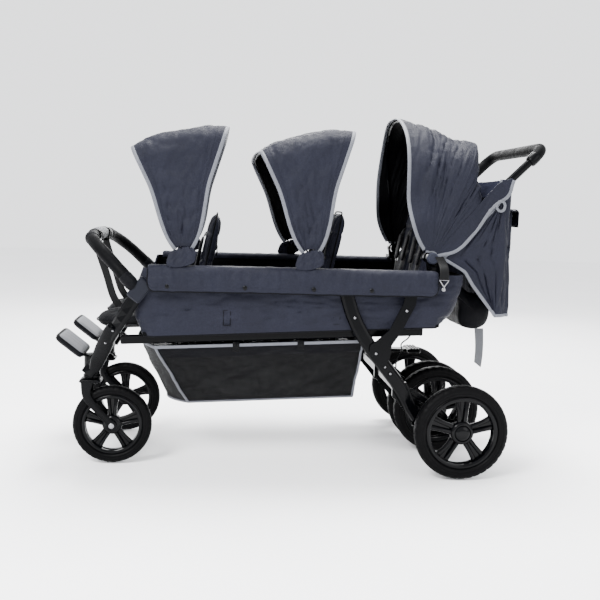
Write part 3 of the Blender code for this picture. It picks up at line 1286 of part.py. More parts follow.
# Basket
def make_basket():
    """Open mesh basket, narrower at its foot, its front panel bulging forward."""
    count, levels = 10, 4

    def ring(share, inset):
        f = BASKET_TOP_X[0] + (BASKET_BOTTOM_X[0] - BASKET_TOP_X[0]) * share + inset
        r = BASKET_TOP_X[1] + (BASKET_BOTTOM_X[1] - BASKET_TOP_X[1]) * share - inset
        half = BASKET_TOP_HALF + (BASKET_BOTTOM_HALF - BASKET_TOP_HALF) * share ** 1.15 - inset
        ys = np.linspace(-half, half, count // 2 + 1)
        front = [(f - BASKET_BULGE * (1 - (y / half) ** 2), y) for y in ys]
        back = [(r, y) for y in ys[::-1]]
        side_a = [(x, half) for x in np.linspace(f, r, 7)[1:-1]]
        side_b = [(x, -half) for x in np.linspace(r, f, 7)[1:-1]]
        return front + side_a + back + side_b

    def body(name, inset, lift, extra):
        bm = bmesh.new()
        rows = []
        for k in range(levels):
            share = k / (levels - 1)
            drop = -extra if k == 0 else (BASKET_DEPTH - lift) * share
            rows.append([
                bm.verts.new((x, y, floor_z(x) - GAP - LOWER_RAIL_H - 0.012 - drop))
                for x, y in ring(share, inset)
            ])
        for upper, lower in zip(rows, rows[1:]):
            for k in range(len(upper)):
                n = (k + 1) % len(upper)
                bm.faces.new((upper[k], upper[n], lower[n], lower[k]))
        bm.faces.new(rows[0])
        bm.faces.new(rows[-1])
        bmesh.ops.triangulate(bm, faces=[f for f in bm.faces if len(f.verts) > 4])
        return from_bmesh(name, bm, MESH_BLACK)

    outside = body("basket", 0.0, 0.0, 0.0)
    inside = body("inside", BASKET_WALL, BASKET_WALL, 0.02)
    basket = cut(outside, inside)
    hangers = []
    for sign in SIDES.values():
        for x in (-0.36, -0.13, 0.07, 0.15):
            near, far = LOWER_RAIL_Y - LOWER_RAIL_W / 2, LOWER_RAIL_Y + LOWER_RAIL_W / 2
            y0, y1 = sorted((sign * near, sign * far))
            top = floor_z(x - 0.015) - LOWER_RAIL_H - 3 * GAP
            hangers.append(box("hanger", (x - 0.015, y0, top - 0.030), (x + 0.015, y1, top), MESH_BLACK))
    return smooth(fuse(basket, *hangers), 30.0)


make_wheels()
for side_name, side_sign in SIDES.items():
    make_fork(side_name, side_sign)
make_sides()
make_front_carrier()
make_rear_subframe()
make_brake_pedal()
make_bumper_bar()
make_footrests()
make_tub()
for row_number in range(len(ROW_X)):
    make_cushion(row_number)
    for side_name, side_sign in SIDES.items():
        make_backrest(row_number, side_name, side_sign)
make_handle()
make_hood()
make_cape()
make_pouch()
for canopy_number, canopy_x in enumerate(CANOPY_X, start=1):
    make_canopy(canopy_number, canopy_x)
make_basket()
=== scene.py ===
"""Looks of the six-seat stroller: its cloth, padding, wheels and fittings, and the studio it stands in.

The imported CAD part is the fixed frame. Metres, +Z up, the front towards -X, the near side towards -Y.
"""

import math

import bmesh
import bpy
import numpy as np
from mathutils import Matrix, Vector


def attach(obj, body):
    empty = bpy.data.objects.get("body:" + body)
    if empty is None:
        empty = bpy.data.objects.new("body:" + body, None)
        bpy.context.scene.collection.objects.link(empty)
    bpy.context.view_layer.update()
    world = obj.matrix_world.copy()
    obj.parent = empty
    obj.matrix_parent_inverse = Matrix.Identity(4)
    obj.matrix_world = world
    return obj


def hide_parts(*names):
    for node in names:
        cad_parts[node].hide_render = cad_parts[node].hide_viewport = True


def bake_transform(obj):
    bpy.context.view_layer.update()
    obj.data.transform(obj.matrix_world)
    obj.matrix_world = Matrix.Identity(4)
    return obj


# Sizes repeated from the part's source
SIDES = {"left": -1.0, "right": 1.0}
REAR_R, REAR_W, REAR_HUB = 0.143, 0.047, 0.022
FRONT_R, FRONT_W, FRONT_HUB = 0.120, 0.042, 0.019
REAR_AXLE_X, REAR_OUTER_Y, REAR_INNER_Y = 0.480, 0.352, 0.052
FRONT_AXLE_X, FRONT_Y, CASTER_X = -0.569, 0.190, -0.631
CROWN_Z, CROWN_H = 0.247, 0.018
HOUSING_Z, HOUSING_R, HOUSING_H = 0.2658, 0.024, 0.066
CARRIER_Z = HOUSING_Z + 0.55 * HOUSING_H
TUB_HALF, FLAP_FRONT_X, FLAP_REAR_X = 0.330, -0.455, 0.386
ROW_X = (-0.330, 0.052, 0.362)
BACK_W, BACK_LEN, BACK_T, BACK_LEAN, BACK_Y = 0.205, 0.335, 0.036, 78.0, 0.109
CUSHION_T, CUSHION_DEPTH, CUSHION_HALF = 0.040, (0.255, 0.225, 0.215), (0.282, 0.300, 0.300)
FOOTREST_Y, FOOTREST_W, FOOTREST_LEN, FOOTREST_T, FOOTREST_TILT = 0.160, 0.165, 0.096, 0.022, 38.0
FOOTREST_REACH = math.hypot(HOUSING_R, 0.45 * HOUSING_H) + 0.0016
PIVOT_X, PIVOT_Z = 0.3815, 0.659
HANDLE_LEN, HANDLE_Y, HANDLE_ANGLE = 0.486, 0.245, 44.7
CANOPY_X, CANOPY_Z = (-0.354, 0.013), 0.6455
CAPE_BACK_X, CAPE_HALF = 0.6272, 0.272
BAG_HALF, BAG_DEPTH, BAG_Z = 0.185, 0.036, (0.668, 0.806)
BASKET_DEPTH = 0.208

# Sizes and places set here for the finished goods, at or near the part's own
CLOTH = 0.0022
PIPING_R, SEAT_PIPING_R, CABLE_R = 0.0022, 0.0024, 0.0024
TUB_CORNER, FLAP_EDGE_R = 0.034, 0.022
SNAP_X, SNAP_Y, SNAP_Z = (-0.399, -0.179, 0.019, 0.188), 0.3722, 0.5655
COLLAR_X, COLLAR_Y, COLLAR_Z, COLLAR_TILT = -0.477, 0.345, 0.551, 38.0
HOOD_CORE, HOOD_FOOT_Y = (PIVOT_X, 0.0, PIVOT_Z), 0.2755
HOOD_HEM, HOOD_SEAM, HOOD_END = 100.0, 67.6, 50.0
WING_Y, WING_START, WING_END = 0.2836, 0.020, 0.345
CAPE_TOP_Z, CAPE_FALL_Z, CAPE_HEM_Z, CAPE_CORNER = 0.901, 0.88, 0.487, 0.035
PANEL_HALF, TIE_X = 0.262, 0.3985
CANOPY_HALF = 0.338
BASKET_HANG, BASKET_CORE = 0.0383, (-0.1, 0.0, 0.29)

# Hoops as (angle in degrees, length)
FRONT_BOW, MID_BOW = (98.8, 0.4265), (68.0, 0.366)
CANOPY_FRONT, CANOPY_REAR = (115.0, 0.340), (74.0, 0.386)

# Camera fitted to the photograph: place, then yaw, pitch and roll, then focal length in mm
CAMERA_PLACE = (-0.26501, -2.80161, 0.80676)
CAMERA_TURN = (0.10033592, -0.11107956, 0.03191928)
CAMERA_LENS = 51.289


# Numbers and lines
def floor_z(x):
    """Height of the tub's sloping floor at x."""
    return 0.437 + 0.045 * x


def polar(angle, length, x=PIVOT_X, z=PIVOT_Z):
    """x and z of a point at this angle in degrees and distance from a pivot."""
    a = np.radians(angle)
    return x + length * np.cos(a), z + length * np.sin(a)


def leaning(angle):
    """Unit directions at this angle in degrees: forward and up along a slope, and square to it."""
    a = math.radians(angle)
    return np.array([-math.cos(a), 0.0, math.sin(a)]), np.array([math.sin(a), 0.0, math.cos(a)])


def circle(count):
    """Angles once round, the last one step short of the first."""
    return np.linspace(0, 2 * math.pi, count, endpoint=False)


def square_rim(count, power):
    """u and v once round the rim of a padded form: a circle drawn out towards a square's corners."""
    c, s = np.cos(circle(count)), np.sin(circle(count))
    return np.sign(c) * np.abs(c) ** power, np.sign(s) * np.abs(s) ** power


def dome(u, v, p, q):
    """Crown of a padded form: 1 in the middle and 0 at its rim, flatter inside for higher powers."""
    return (1 - np.abs(u) ** p) ** 0.5 * (1 - np.abs(v) ** q) ** 0.5


def lattice(u, v):
    """Two grids that pair every value of u with every value of v."""
    return np.meshgrid(u, v, indexing="ij")


def grid_of(x, y, z):
    """Points from x, y and z, each given as a number, a row, a column or a whole grid."""
    return np.stack(np.broadcast_arrays(x, y, z), -1)


def resample(line, count):
    """Evenly spaced points along a polyline."""
    line = np.asarray(line, float)
    steps = np.r_[0.0, np.cumsum(np.linalg.norm(np.diff(line, axis=0), axis=1))]
    at = np.linspace(0.0, steps[-1], count)
    return np.stack([np.interp(at, steps, line[:, k]) for k in range(line.shape[1])], -1)


def curve(knots, count):
    """Smooth line through the knots: a cubic between each two, with slopes from their neighbours."""
    p = np.asarray(knots, float)
    m = np.gradient(p, axis=0)
    t = np.linspace(0, 1, 16, endpoint=False)[None, :, None]
    a, b, ma, mb = (q[:, None, :] for q in (p[:-1], p[1:], m[:-1], m[1:]))
    h = 3 * t**2 - 2 * t**3
    line = a * (1 - h) + b * h + ma * (t**3 - 2 * t**2 + t) + mb * (t**3 - t**2)
    return resample(np.r_[line.reshape(-1, p.shape[1]), p[-1:]], count)


def side_curve(knots, sign, count):
    """Smooth line through knots written for the right side, set on the side of this sign."""
    return curve([(x, sign * y, z) for x, y, z in knots], count)


def unit(v):
    return v / (np.linalg.norm(v, axis=-1, keepdims=True) + 1e-12)


def creases(u, v, seed, count=6, spread=1.6):
    """Soft cloth creases, about -1 to 1: waves in seeded directions, each bent by the one before."""
    rng = np.random.default_rng(seed)
    total, bent, weight = 0.0, 0.0, 0.0
    for k in range(count):
        turn, phase = rng.uniform(0, math.pi), rng.uniform(0, 2 * math.pi)
        rate = spread**k
        across = u * math.cos(turn) + v * math.sin(turn)
        wave = np.sin(2 * math.pi * rate * across + phase + 1.4 * bent)
        total, weight, bent = total + wave / rate**0.8, weight + 1 / rate**0.8, wave
    return total / weight * 1.6


def ridges(u, v, seed):
    """Tension folds from -1 to 1: sharp valleys between round ridges, where creases pass through zero."""
    return 1 - 2 * np.exp(-np.abs(creases(u, v, seed, 4)) * 3.2)


def edge_fade(t, share=0.12):
    """0 at both ends of 0 to 1, rising smoothly to 1 inside."""
    a = np.clip(np.minimum(t, 1 - t) / share, 0, 1)
    return a * a * (3 - 2 * a)


def groove(distance, width):
    """Depth share of a sewn line: 1 on it, fading like a bell over this width."""
    return np.exp(-((distance / width) ** 2))


# Surfaces
def quads(rows, cols, loop_rows=False, loop_cols=False):
    """Quads over a grid of points kept row by row; either way round can close on itself."""
    r = np.arange(rows if loop_rows else rows - 1)[:, None]
    c = np.arange(cols if loop_cols else cols - 1)[None, :]
    r1, c1 = (r + 1) % rows, (c + 1) % cols
    corners = np.broadcast_arrays(r * cols + c, r * cols + c1, r1 * cols + c1, r1 * cols + c)
    return np.stack(corners, -1).reshape(-1, 4)


def grid_normals(grid, loop=False):
    """Unit normals of a grid of points: the cross product of its two directions."""
    if loop:
        across = np.roll(grid, -1, 1) - np.roll(grid, 1, 1)
    else:
        across = np.gradient(grid, axis=1)
    return unit(np.cross(np.gradient(grid, axis=0), across))


def facing(grid, core, loop=False):
    """Unit normals of a grid of points, turned to point away from the place core."""
    normal = grid_normals(grid, loop)
    return normal * np.sign(np.sum(normal * (grid - np.asarray(core)), -1).sum())


def shell(grid, thickness, lining=0, loop=False, core=None):
    """Closed thin cloth about a grid: its face away from core, its back in material lining, its rim."""
    rows, cols = grid.shape[:2]
    normal = grid_normals(grid, loop) if core is None else facing(grid, core, loop)
    shift = normal * np.broadcast_to(np.asarray(thickness, float) / 2, (rows, cols))[..., None]
    n = rows * cols
    index = np.arange(n).reshape(rows, cols)
    face = quads(rows, cols, False, loop)
    if loop:
        rings = [(index[0], np.roll(index[0], -1)), (index[-1], np.roll(index[-1], -1))]
    else:
        edge = np.concatenate([index[0, :-1], index[:-1, -1], index[-1, :0:-1], index[:0:-1, 0]])
        rings = [(edge, np.roll(edge, -1))]
    rim = np.concatenate([np.stack([a, b, b + n, a + n], -1) for a, b in rings])
    points = np.concatenate([(grid + shift).reshape(-1, 3), (grid - shift).reshape(-1, 3)])
    return points, [(face, 0), (face[:, ::-1] + n, lining), (rim, 0)]


def oval(a, b, count=16, power=2.0):
    """Closed section with half sizes a and b; a higher power makes it squarer."""
    u, v = square_rim(count, 2 / power)
    return np.stack([a * u, b * v], -1)


def ovals(wide, deep, count, power):
    """One closed section for each step of a path, from columns of its two half sizes."""
    return oval(1.0, 1.0, count, power)[None] * np.concatenate([wide, deep], 1)[:, None, :]


def tube(grid, ends, slot=0):
    """Closed form from rings of points, each end closed by a fan about its middle point."""
    rows, cols = grid.shape[:2]
    ring = np.arange(cols)
    last = ring + (rows - 1) * cols
    start = np.stack([np.full(cols, rows * cols), np.roll(ring, -1), ring], -1)
    end = np.stack([np.full(cols, rows * cols + 1), last, np.roll(last, -1)], -1)
    faces = [(quads(rows, cols, False, True), slot), (start, slot), (end, slot)]
    return np.concatenate([grid.reshape(-1, 3), ends]), faces


def sweep(path, section, normal=None, scale=None, slot=0, closed=False):
    """Section carried along a path, its second direction along normal, closed at both ends by a fan."""
    path = np.asarray(path, float)
    if closed:
        tangent = unit(np.roll(path, -1, 0) - np.roll(path, 1, 0))
    else:
        tangent = unit(np.gradient(path, axis=0))
    if normal is None:
        up = np.array([0.0, 0.0, 1.0]) if abs(tangent[0][2]) < 0.9 else np.array([1.0, 0.0, 0.0])
        turned = []
        for t in tangent:
            up = unit(up - t * (up @ t))
            turned.append(up)
        normal = np.array(turned)
    else:
        normal = np.broadcast_to(np.asarray(normal, float), path.shape)
        normal = unit(normal - tangent * np.sum(normal * tangent, -1, keepdims=True))
    side = np.cross(tangent, normal)
    section = np.broadcast_to(np.asarray(section, float), (len(path), *np.shape(section)[-2:]))
    if scale is not None:
        section = section * np.asarray(scale)[:, None, None]
    grid = path[:, None] + section[..., :1] * side[:, None] + section[..., 1:] * normal[:, None]
    if closed:
        return grid.reshape(-1, 3), [(quads(*grid.shape[:2], True, True), slot)]
    return tube(grid, path[[0, -1]], slot)


def domed(count, share=0.06, low=0.25):
    """Scale along a swept form whose two ends are rounded over this share of its length."""
    t = np.linspace(0, 1, count)
    d = np.clip(np.minimum(t, 1 - t) / share, 0, 1)
    return low + (1 - low) * np.sqrt(1 - (1 - d) ** 2)


def lathe(profile, centre, steps=64, axis="y", slot=0, ring=False):
    """Form turned about an axis: profile is (radius, height), pole to pole, or closed if ring."""
    r, h = np.asarray(profile, float).T
    t = circle(steps)[:, None]
    a, b, h = np.broadcast_arrays(r * np.cos(t), r * np.sin(t), h)
    order = {"x": (h, a, b), "y": (a, h, b), "z": (a, b, h)}[axis]
    points = (np.stack(order, -1) + np.asarray(centre)).reshape(-1, 3)
    return points, [(quads(steps, len(r), True, ring), slot)]


def pillow(shape, nu, nv, slot=0):
    """Closed padded form: shape(u, v, face) gives front and back over -1 to 1, which meet at the rim."""
    u, v = lattice(*(np.sin(np.linspace(-math.pi / 2, math.pi / 2, n)) for n in (nu, nv)))
    face = quads(nu, nv)
    points = np.concatenate([grid_of(*shape(u, v, f)).reshape(-1, 3) for f in (1.0, -1.0)])
    return points, [(face, slot), (face[:, ::-1] + nu * nv, slot)]


def moved(form, matrix=None, offset=(0, 0, 0)):
    """A form turned by a 3 by 3 matrix and shifted."""
    points = np.asarray(form[0])
    if matrix is not None:
        points = points @ np.asarray(matrix).T
    return points + np.asarray(offset), form[1]


def stud(profile, place, sign, steps, slot=0):
    """Turned form standing out of a side: its profile's heights grow away from the stroller's middle."""
    return moved(lathe(profile, (0, 0, 0), steps, slot=slot), np.diag([1, sign, 1]), place)


# Pieces
def build(name, forms, *materials, angle=40.0):
    """One object from closed forms, poles welded and faces turned outward."""
    points, faces, slots, start = [], [], [], 0
    for form_points, groups in forms:
        for face, slot in groups:
            faces += (np.asarray(face) + start).tolist()
            slots += [slot] * len(face)
        points.append(np.asarray(form_points).reshape(-1, 3))
        start += len(points[-1])
    mesh = bpy.data.meshes.new(name)
    mesh.from_pydata(np.concatenate(points).tolist(), [], faces)
    for material in materials:
        mesh.materials.append(material)
    mesh.polygons.foreach_set("material_index", slots)
    bm = bmesh.new()
    bm.from_mesh(mesh)
    bmesh.ops.remove_doubles(bm, verts=bm.verts, dist=1e-6)
    bmesh.ops.dissolve_degenerate(bm, edges=bm.edges, dist=1e-7)
    bm.normal_update()
    bmesh.ops.recalc_face_normals(bm, faces=bm.faces)
    bm.to_mesh(mesh)
    bm.free()
    mesh.polygons.foreach_set("use_smooth", np.ones(len(mesh.polygons), bool))
    mesh.set_sharp_from_angle(angle=math.radians(angle))
    obj = bpy.data.objects.new(name, mesh)
    bpy.context.scene.collection.objects.link(obj)
    return obj


def finish_piece(obj, body, slot, *nodes):
    """Puts a finished piece on its body and hides the CAD nodes it replaces; its material slot is not used.
    """
    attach(obj, body)
    if nodes:
        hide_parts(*nodes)
    return obj


def make(name, forms, looks, body, slot, *nodes, angle=40.0):
    """Builds a piece in one material, or several in a tuple, and finishes it on its body."""
    looks = looks if isinstance(looks, tuple) else (looks,)
    return finish_piece(build(name, forms, *looks, angle=angle), body, slot, *nodes)


def bend_between(obj, a, b, start, end, slot, *nodes):
    """Cloth piece with its transform baked into its mesh, hiding the CAD nodes it replaces; the two bodies
    and its material slot are not used.
    """
    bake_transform(obj)
    if nodes:
        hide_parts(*nodes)
    return obj


# Materials
def shader(name, colour, roughness, **sockets):
    """A material with this base colour and roughness; other sockets by name, _ for spaces."""
    material = bpy.data.materials.new(name)
    material.use_nodes = True
    main = material.node_tree.nodes["Principled BSDF"]
    main.inputs["Base Color"].default_value = (*colour, 1.0)
    main.inputs["Roughness"].default_value = roughness
    for key, value in sockets.items():
        main.inputs[key.replace("_", " ")].default_value = value
    return material, material.node_tree, main


def node(tree, kind, inputs, **settings):
    """Adds a shader node; inputs are values or sockets by name or number."""
    made = tree.nodes.new("ShaderNode" + kind)
    for key, value in settings.items():
        setattr(made, key, value)
    for key, value in inputs.items():
        if isinstance(value, bpy.types.NodeSocket):
            tree.links.new(value, made.inputs[key])
        else:
            made.inputs[key].default_value = value
    return made


def position(tree):
    return node(tree, "TexCoord", {}).outputs["Object"]


def noise(tree, scale, detail=3.0, roughness=0.55):
    """Smooth noise read at the object's own coordinates."""
    inputs = {"Vector": position(tree), "Scale": scale, "Detail": detail, "Roughness": roughness}
    return node(tree, "TexNoise", inputs).outputs["Fac"]


def two_colours(tree, fac, low, high, start=0.3, end=0.7):
    """Colour that runs from low to high as fac goes from start to end."""
    ramp = node(tree, "ValToRGB", {"Fac": fac})
    for stop, at, colour in zip(ramp.color_ramp.elements, (start, end), (low, high)):
        stop.position, stop.color = at, (*colour, 1.0)
    return ramp.outputs["Color"]


def spread(tree, fac, low, high, start=0.3, end=0.7):
    """Number that runs from low to high as fac goes from start to end."""
    inputs = {"Value": fac, "From Min": start, "From Max": end, "To Min": low, "To Max": high}
    return node(tree, "MapRange", inputs).outputs["Result"]


def weave(tree, thread):
    """Height of a plain weave at any slope: crossing waves along the three axes, one thread apart."""
    scale = {0: position(tree), "Scale": 2 * math.pi / thread}
    scaled = node(tree, "VectorMath", scale, operation="SCALE").outputs["Vector"]
    parts = node(tree, "SeparateXYZ", {0: scaled}).outputs
    turned = node(tree, "CombineXYZ", {0: parts[1], 1: parts[2], 2: parts[0]}).outputs["Vector"]
    a = node(tree, "VectorMath", {0: scaled}, operation="SINE").outputs["Vector"]
    b = node(tree, "VectorMath", {0: turned}, operation="COSINE").outputs["Vector"]
    return node(tree, "VectorMath", {0: a, 1: b}, operation="DOT_PRODUCT").outputs["Value"]


def bumps(tree, main, *layers):
    """Stacks bump maps: each layer is (height, strength, depth in metres)."""
    below = None
    for height, strength, depth in layers:
        inputs = {"Height": height, "Strength": strength, "Distance": depth}
        if below is not None:
            inputs["Normal"] = below
        below = node(tree, "Bump", inputs).outputs["Normal"]
    tree.links.new(below, main.inputs["Normal"])


def mottle(tree, main, fac, colour, dark, light, *ends):
    """Base colour that drifts between a darker and a lighter share of itself."""
    colour = np.array(colour)
    tint = two_colours(tree, fac, tuple(colour * dark), tuple(colour * light), *ends)
    tree.links.new(tint, main.inputs["Base Color"])


def woven(name, colour, roughness, thread=0.0009, wrinkle=0.0016, sheen=0.25, shine=0.5):
    """Woven cloth: fine threads, soft crumples, slight changes of colour and roughness, and sheen."""
    material, tree, main = shader(
        name, colour, roughness, Sheen_Weight=sheen, Sheen_Roughness=0.45, Specular_IOR_Level=shine,
    )
    broad, fine = noise(tree, 9.0, 4.0), noise(tree, 240.0, 2.0)
    mixed = node(tree, "Math", {0: broad, 1: fine, 2: 0.22}, operation="MULTIPLY_ADD")
    mottle(tree, main, mixed.outputs[0], colour, 0.78, 1.22, 0.32, 0.62)
    tree.links.new(spread(tree, broad, roughness - 0.07, roughness + 0.08), main.inputs["Roughness"])
    crumple, threads = noise(tree, 17.0, 5.0, 0.45), weave(tree, thread)
    bumps(tree, main, (crumple, 0.70, wrinkle), (threads, 0.35, 0.00018))
    return material


def hard(name, colour, roughness, grain, depth, scale=300.0, **sockets):
    """Moulded or painted surface: fine grain in the height and slight wear in the roughness."""
    material, tree, main = shader(name, colour, roughness, **sockets)
    mottle(tree, main, noise(tree, 14.0, 4.0), colour, 0.85, 1.18)
    wear = spread(tree, noise(tree, 45.0, 5.0), roughness * 0.8, roughness * 1.25)
    tree.links.new(wear, main.inputs["Roughness"])
    bumps(tree, main, (noise(tree, scale, 2.0), grain, depth))
    return material


def netting(name, colour, cell, cover):
    """Knitted net: threads and small holes at one cell's spacing, seen through between the threads."""
    material, tree, main = shader(name, colour, 0.6, Specular_IOR_Level=0.08)
    height = weave(tree, cell)
    solid = spread(tree, height, 0.0, 1.0, cover - 0.25, cover + 0.25)
    hidden = node(tree, "Math", {0: 1.0, 1: solid}, operation="SUBTRACT").outputs[0]
    tree.links.new(hidden, main.inputs["Alpha"])
    mottle(tree, main, noise(tree, 8.0), colour, 0.8, 1.3)
    bumps(tree, main, (height, 0.4, 0.0004), (noise(tree, 20.0, 4.0), 0.4, 0.002))
    return material


def make_materials():
    """Every finish by name; those named as the record's slots also go on the CAD nodes."""
    charcoal, black = (0.0084, 0.0090, 0.0146), (0.0006, 0.0007, 0.0010)
    soft_black = (0.0008, 0.0009, 0.0012)
    return {
        "cloth_dark": woven("charcoal nylon", charcoal, 0.52, wrinkle=0.0120, sheen=0.0, shine=0.06),
        "cloth_flat": woven("charcoal nylon, matt", charcoal, 0.9, wrinkle=0.0120, sheen=0.0, shine=0.0),
        "lining": woven(
            "black lining", (0.0007, 0.0008, 0.0011), 0.65, wrinkle=0.0030, sheen=0.005, shine=0.04),
        "cloth_grey": woven(
            "light grey quilted cloth", (0.105, 0.108, 0.120), 0.75, thread=0.0016, sheen=0.05),
        "binding": woven(
            "grey woven binding", (0.060, 0.064, 0.078), 0.55, thread=0.0012, wrinkle=0.0006, sheen=0.05),
        "strap_grey": woven(
            "grey webbing", (0.045, 0.047, 0.054), 0.65, thread=0.0018, wrinkle=0.0006, sheen=0.05),
        "webbing": woven(
            "black webbing", soft_black, 0.50, thread=0.0022, wrinkle=0.0004, sheen=0.01, shine=0.10),
        "pad_black": woven(
            "black padded cloth", (0.0013, 0.0014, 0.0022), 0.55, wrinkle=0.0050, sheen=0.0, shine=0.05),
        "mesh_black": netting("black net", (0.0008, 0.0009, 0.0013), 0.0034, 1.15),
        "frame_black": hard(
            "satin black powder coat", black, 0.19, 0.25, 0.00012, 900.0,
            Specular_IOR_Level=0.06, Coat_Weight=0.0, Coat_Roughness=0.15),
        "moulded_black": hard("moulded black", black, 0.26, 0.3, 0.0002, 700.0, Specular_IOR_Level=0.06),
        "gloss_black": hard(
            "gloss black moulded", (0.0005, 0.0006, 0.0009), 0.14, 0.05, 0.00008, 200.0,
            Specular_IOR_Level=0.08, Coat_Weight=0.02, Coat_Roughness=0.08),
        "tyre_black": hard(
            "foam rubber tyre", (0.0004, 0.0004, 0.0006), 0.50, 0.45, 0.0003, 420.0,
            Specular_IOR_Level=0.05),
        "foam_black": hard(
            "soft black foam", soft_black, 0.60, 0.6, 0.0005, 520.0, Specular_IOR_Level=0.04),
        "collar_grey": hard(
            "blue-grey moulded", (0.0060, 0.0066, 0.0100), 0.45, 0.3, 0.0002, 600.0,
            Specular_IOR_Level=0.08),
        "knob_grey": hard(
            "grey moulded knob", (0.018, 0.020, 0.030), 0.45, 0.3, 0.0002, 600.0, Specular_IOR_Level=0.08),
        "bright_steel": hard("bright steel", (0.20, 0.20, 0.21), 0.28, 0.08, 0.00005, 500.0, Metallic=1.0),
    }


def dress_cad(frame, materials):
    """Gives every CAD node its procedural finish, slot by slot."""
    for obj in frame["nodes"].values():
        for place in obj.material_slots:
            key = place.material.name.split(".")[0] if place.material else "frame_black"
            place.link = "OBJECT"
            place.material = materials.get(key, materials["frame_black"])


# Studio
def make_studio():
    """Pale floor, wide soft lights and the camera at the photograph's angle."""
    x, y = lattice(np.linspace(-9, 9, 13), np.linspace(-7, 11, 13))
    floor = build("studio_floor", [shell(grid_of(x, y, -0.012), 0.02)], None)
    material, tree, main = shader("pale floor", (0.92, 0.92, 0.93), 0.7)
    tint = two_colours(tree, noise(tree, 1.4, 2.0), (0.91, 0.91, 0.92), (0.94, 0.94, 0.945))
    tree.links.new(tint, main.inputs["Base Color"])
    floor.data.materials[0] = material
    floor.data.transform(Matrix.Translation((0, 0, -0.0005)))

    world = bpy.data.worlds.new("studio light")
    world.use_nodes = True
    back = world.node_tree.nodes["Background"]
    back.inputs["Color"].default_value = (0.97, 0.98, 1.0, 1.0)
    back.inputs["Strength"].default_value = 2.2
    bpy.context.scene.world = world

    lamps = (
        ("key", (-2.2, -3.0, 3.4), (0.0, 0.0, 0.55), 1.7, 420.0),
        ("fill", (2.6, -3.2, 1.6), (0.1, 0.0, 0.5), 2.4, 60.0),
        ("top", (0.2, 0.6, 3.6), (0.0, 0.0, 0.6), 1.8, 420.0),
        ("back", (0.5, 3.4, 2.0), (0.0, 0.0, 0.6), 2.4, 140.0),
    )
    for name, place, aim, size, power in lamps:
        light = bpy.data.lights.new(name, "AREA")
        light.shape, light.size, light.energy = "DISK", size, power
        lamp = bpy.data.objects.new(name, light)
        lamp.location = place
        lamp.rotation_euler = (Vector(aim) - Vector(place)).to_track_quat("-Z", "Y").to_euler()
        bpy.context.scene.collection.objects.link(lamp)

    yaw, pitch, roll = CAMERA_TURN
    flat = math.cos(pitch)
    ahead = Vector((math.sin(yaw) * flat, math.cos(yaw) * flat, math.sin(pitch)))
    level = Vector((math.cos(yaw), -math.sin(yaw), 0.0))
    above = level.cross(ahead)
    right = level * math.cos(roll) + above * math.sin(roll)
    up = above * math.cos(roll) - level * math.sin(roll)
    lens = bpy.data.cameras.new("photo_camera")
    lens.lens, lens.sensor_width, lens.sensor_fit = CAMERA_LENS, 36.0, "HORIZONTAL"
    lens.clip_end = 60.0
    camera = bpy.data.objects.new("photo_camera", lens)
    turn = Matrix((right, up, -ahead)).transposed().to_4x4()
    camera.matrix_world = Matrix.Translation(CAMERA_PLACE) @ turn
    bpy.context.scene.collection.objects.link(camera)
    bpy.context.scene.camera = camera


# Wheels
def mirrored(half):
    """Closed profile from one half of it: the other half runs back below."""
    return half + [(r, -y) for r, y in half[-2:0:-1]]


def wheel_forms(radius, width, hub_half, capped):
    """Rim, hub and five pairs of spokes about the origin, the outer face towards +Y."""
    seat, window = 0.745 * radius, 0.67 * radius
    rim = [
        (window, 0.0), (window * 1.002, 0.22 * width), (window * 1.012, 0.33 * width),
        (0.700 * radius, 0.375 * width), (0.728 * radius, 0.392 * width),
        (0.752 * radius, 0.385 * width), (0.764 * radius, 0.355 * width),
        (0.762 * radius, 0.32 * width), (seat, 0.20 * width), (seat, 0.0),
    ]
    hub_r = 0.25 * radius
    back = [(0.0, -1.0), (0.55, -1.0), (0.62, -0.97), (0.80, -0.9)]
    side = [(0.97, -1.15), (1.0, -1.0), (1.0, 1.0), (0.97, 1.2)]
    if capped:
        face = [
            (0.90, 0.86), (0.76, 0.96), (0.70, 0.94), (0.66, 0.82), (0.62, 0.86), (0.60, 0.98),
            (0.50, 1.08), (0.32, 1.145), (0.15, 1.165), (0.0, 1.17),
        ]
    else:
        face = [(0.80, 0.9), (0.62, 0.97), (0.46, 0.98), (0.42, 0.90), (0.0, 0.90)]
    parts = ((back, hub_half), (side, 0.55 * hub_half), (face, hub_half))
    hub = np.concatenate([np.array(shares) * (hub_r, depth) for shares, depth in parts])
    forms = [lathe(mirrored(rim), (0, 0, 0), 96, ring=True), lathe(hub, (0, 0, 0), 48)]

    t = np.linspace(0, 1, 13)[:, None]
    reach = 0.80 * hub_r + (0.705 * radius - 0.80 * hub_r) * t
    aside = radius * (0.058 + 0.040 * t + 0.012 * t**3)
    web = ovals(aside, 0.06 * width + 0 * t, 12, 4.0)
    wide = radius * (0.044 + 0.020 * np.abs(t - 0.45) ** 1.5 * 2)
    deep = width * (0.20 - 0.05 * t + 0.10 * (1 - t) ** 4)
    spoke = ovals(wide, deep, 16, 2.8)
    swell = np.array([0, 1, 0]) * 0.10 * width * np.sin(math.pi * t)
    for k in range(5):
        a = 2 * math.pi * k / 5 + math.pi / 2
        out = np.array([math.cos(a), 0, math.sin(a)])
        across = np.array([-math.sin(a), 0, math.cos(a)])
        forms.append(sweep(out * reach, web, (0, 1, 0)))
        for sign in SIDES.values():
            forms.append(sweep(out * reach + across * (sign * aside) + swell, spoke, (0, 1, 0)))
    return forms


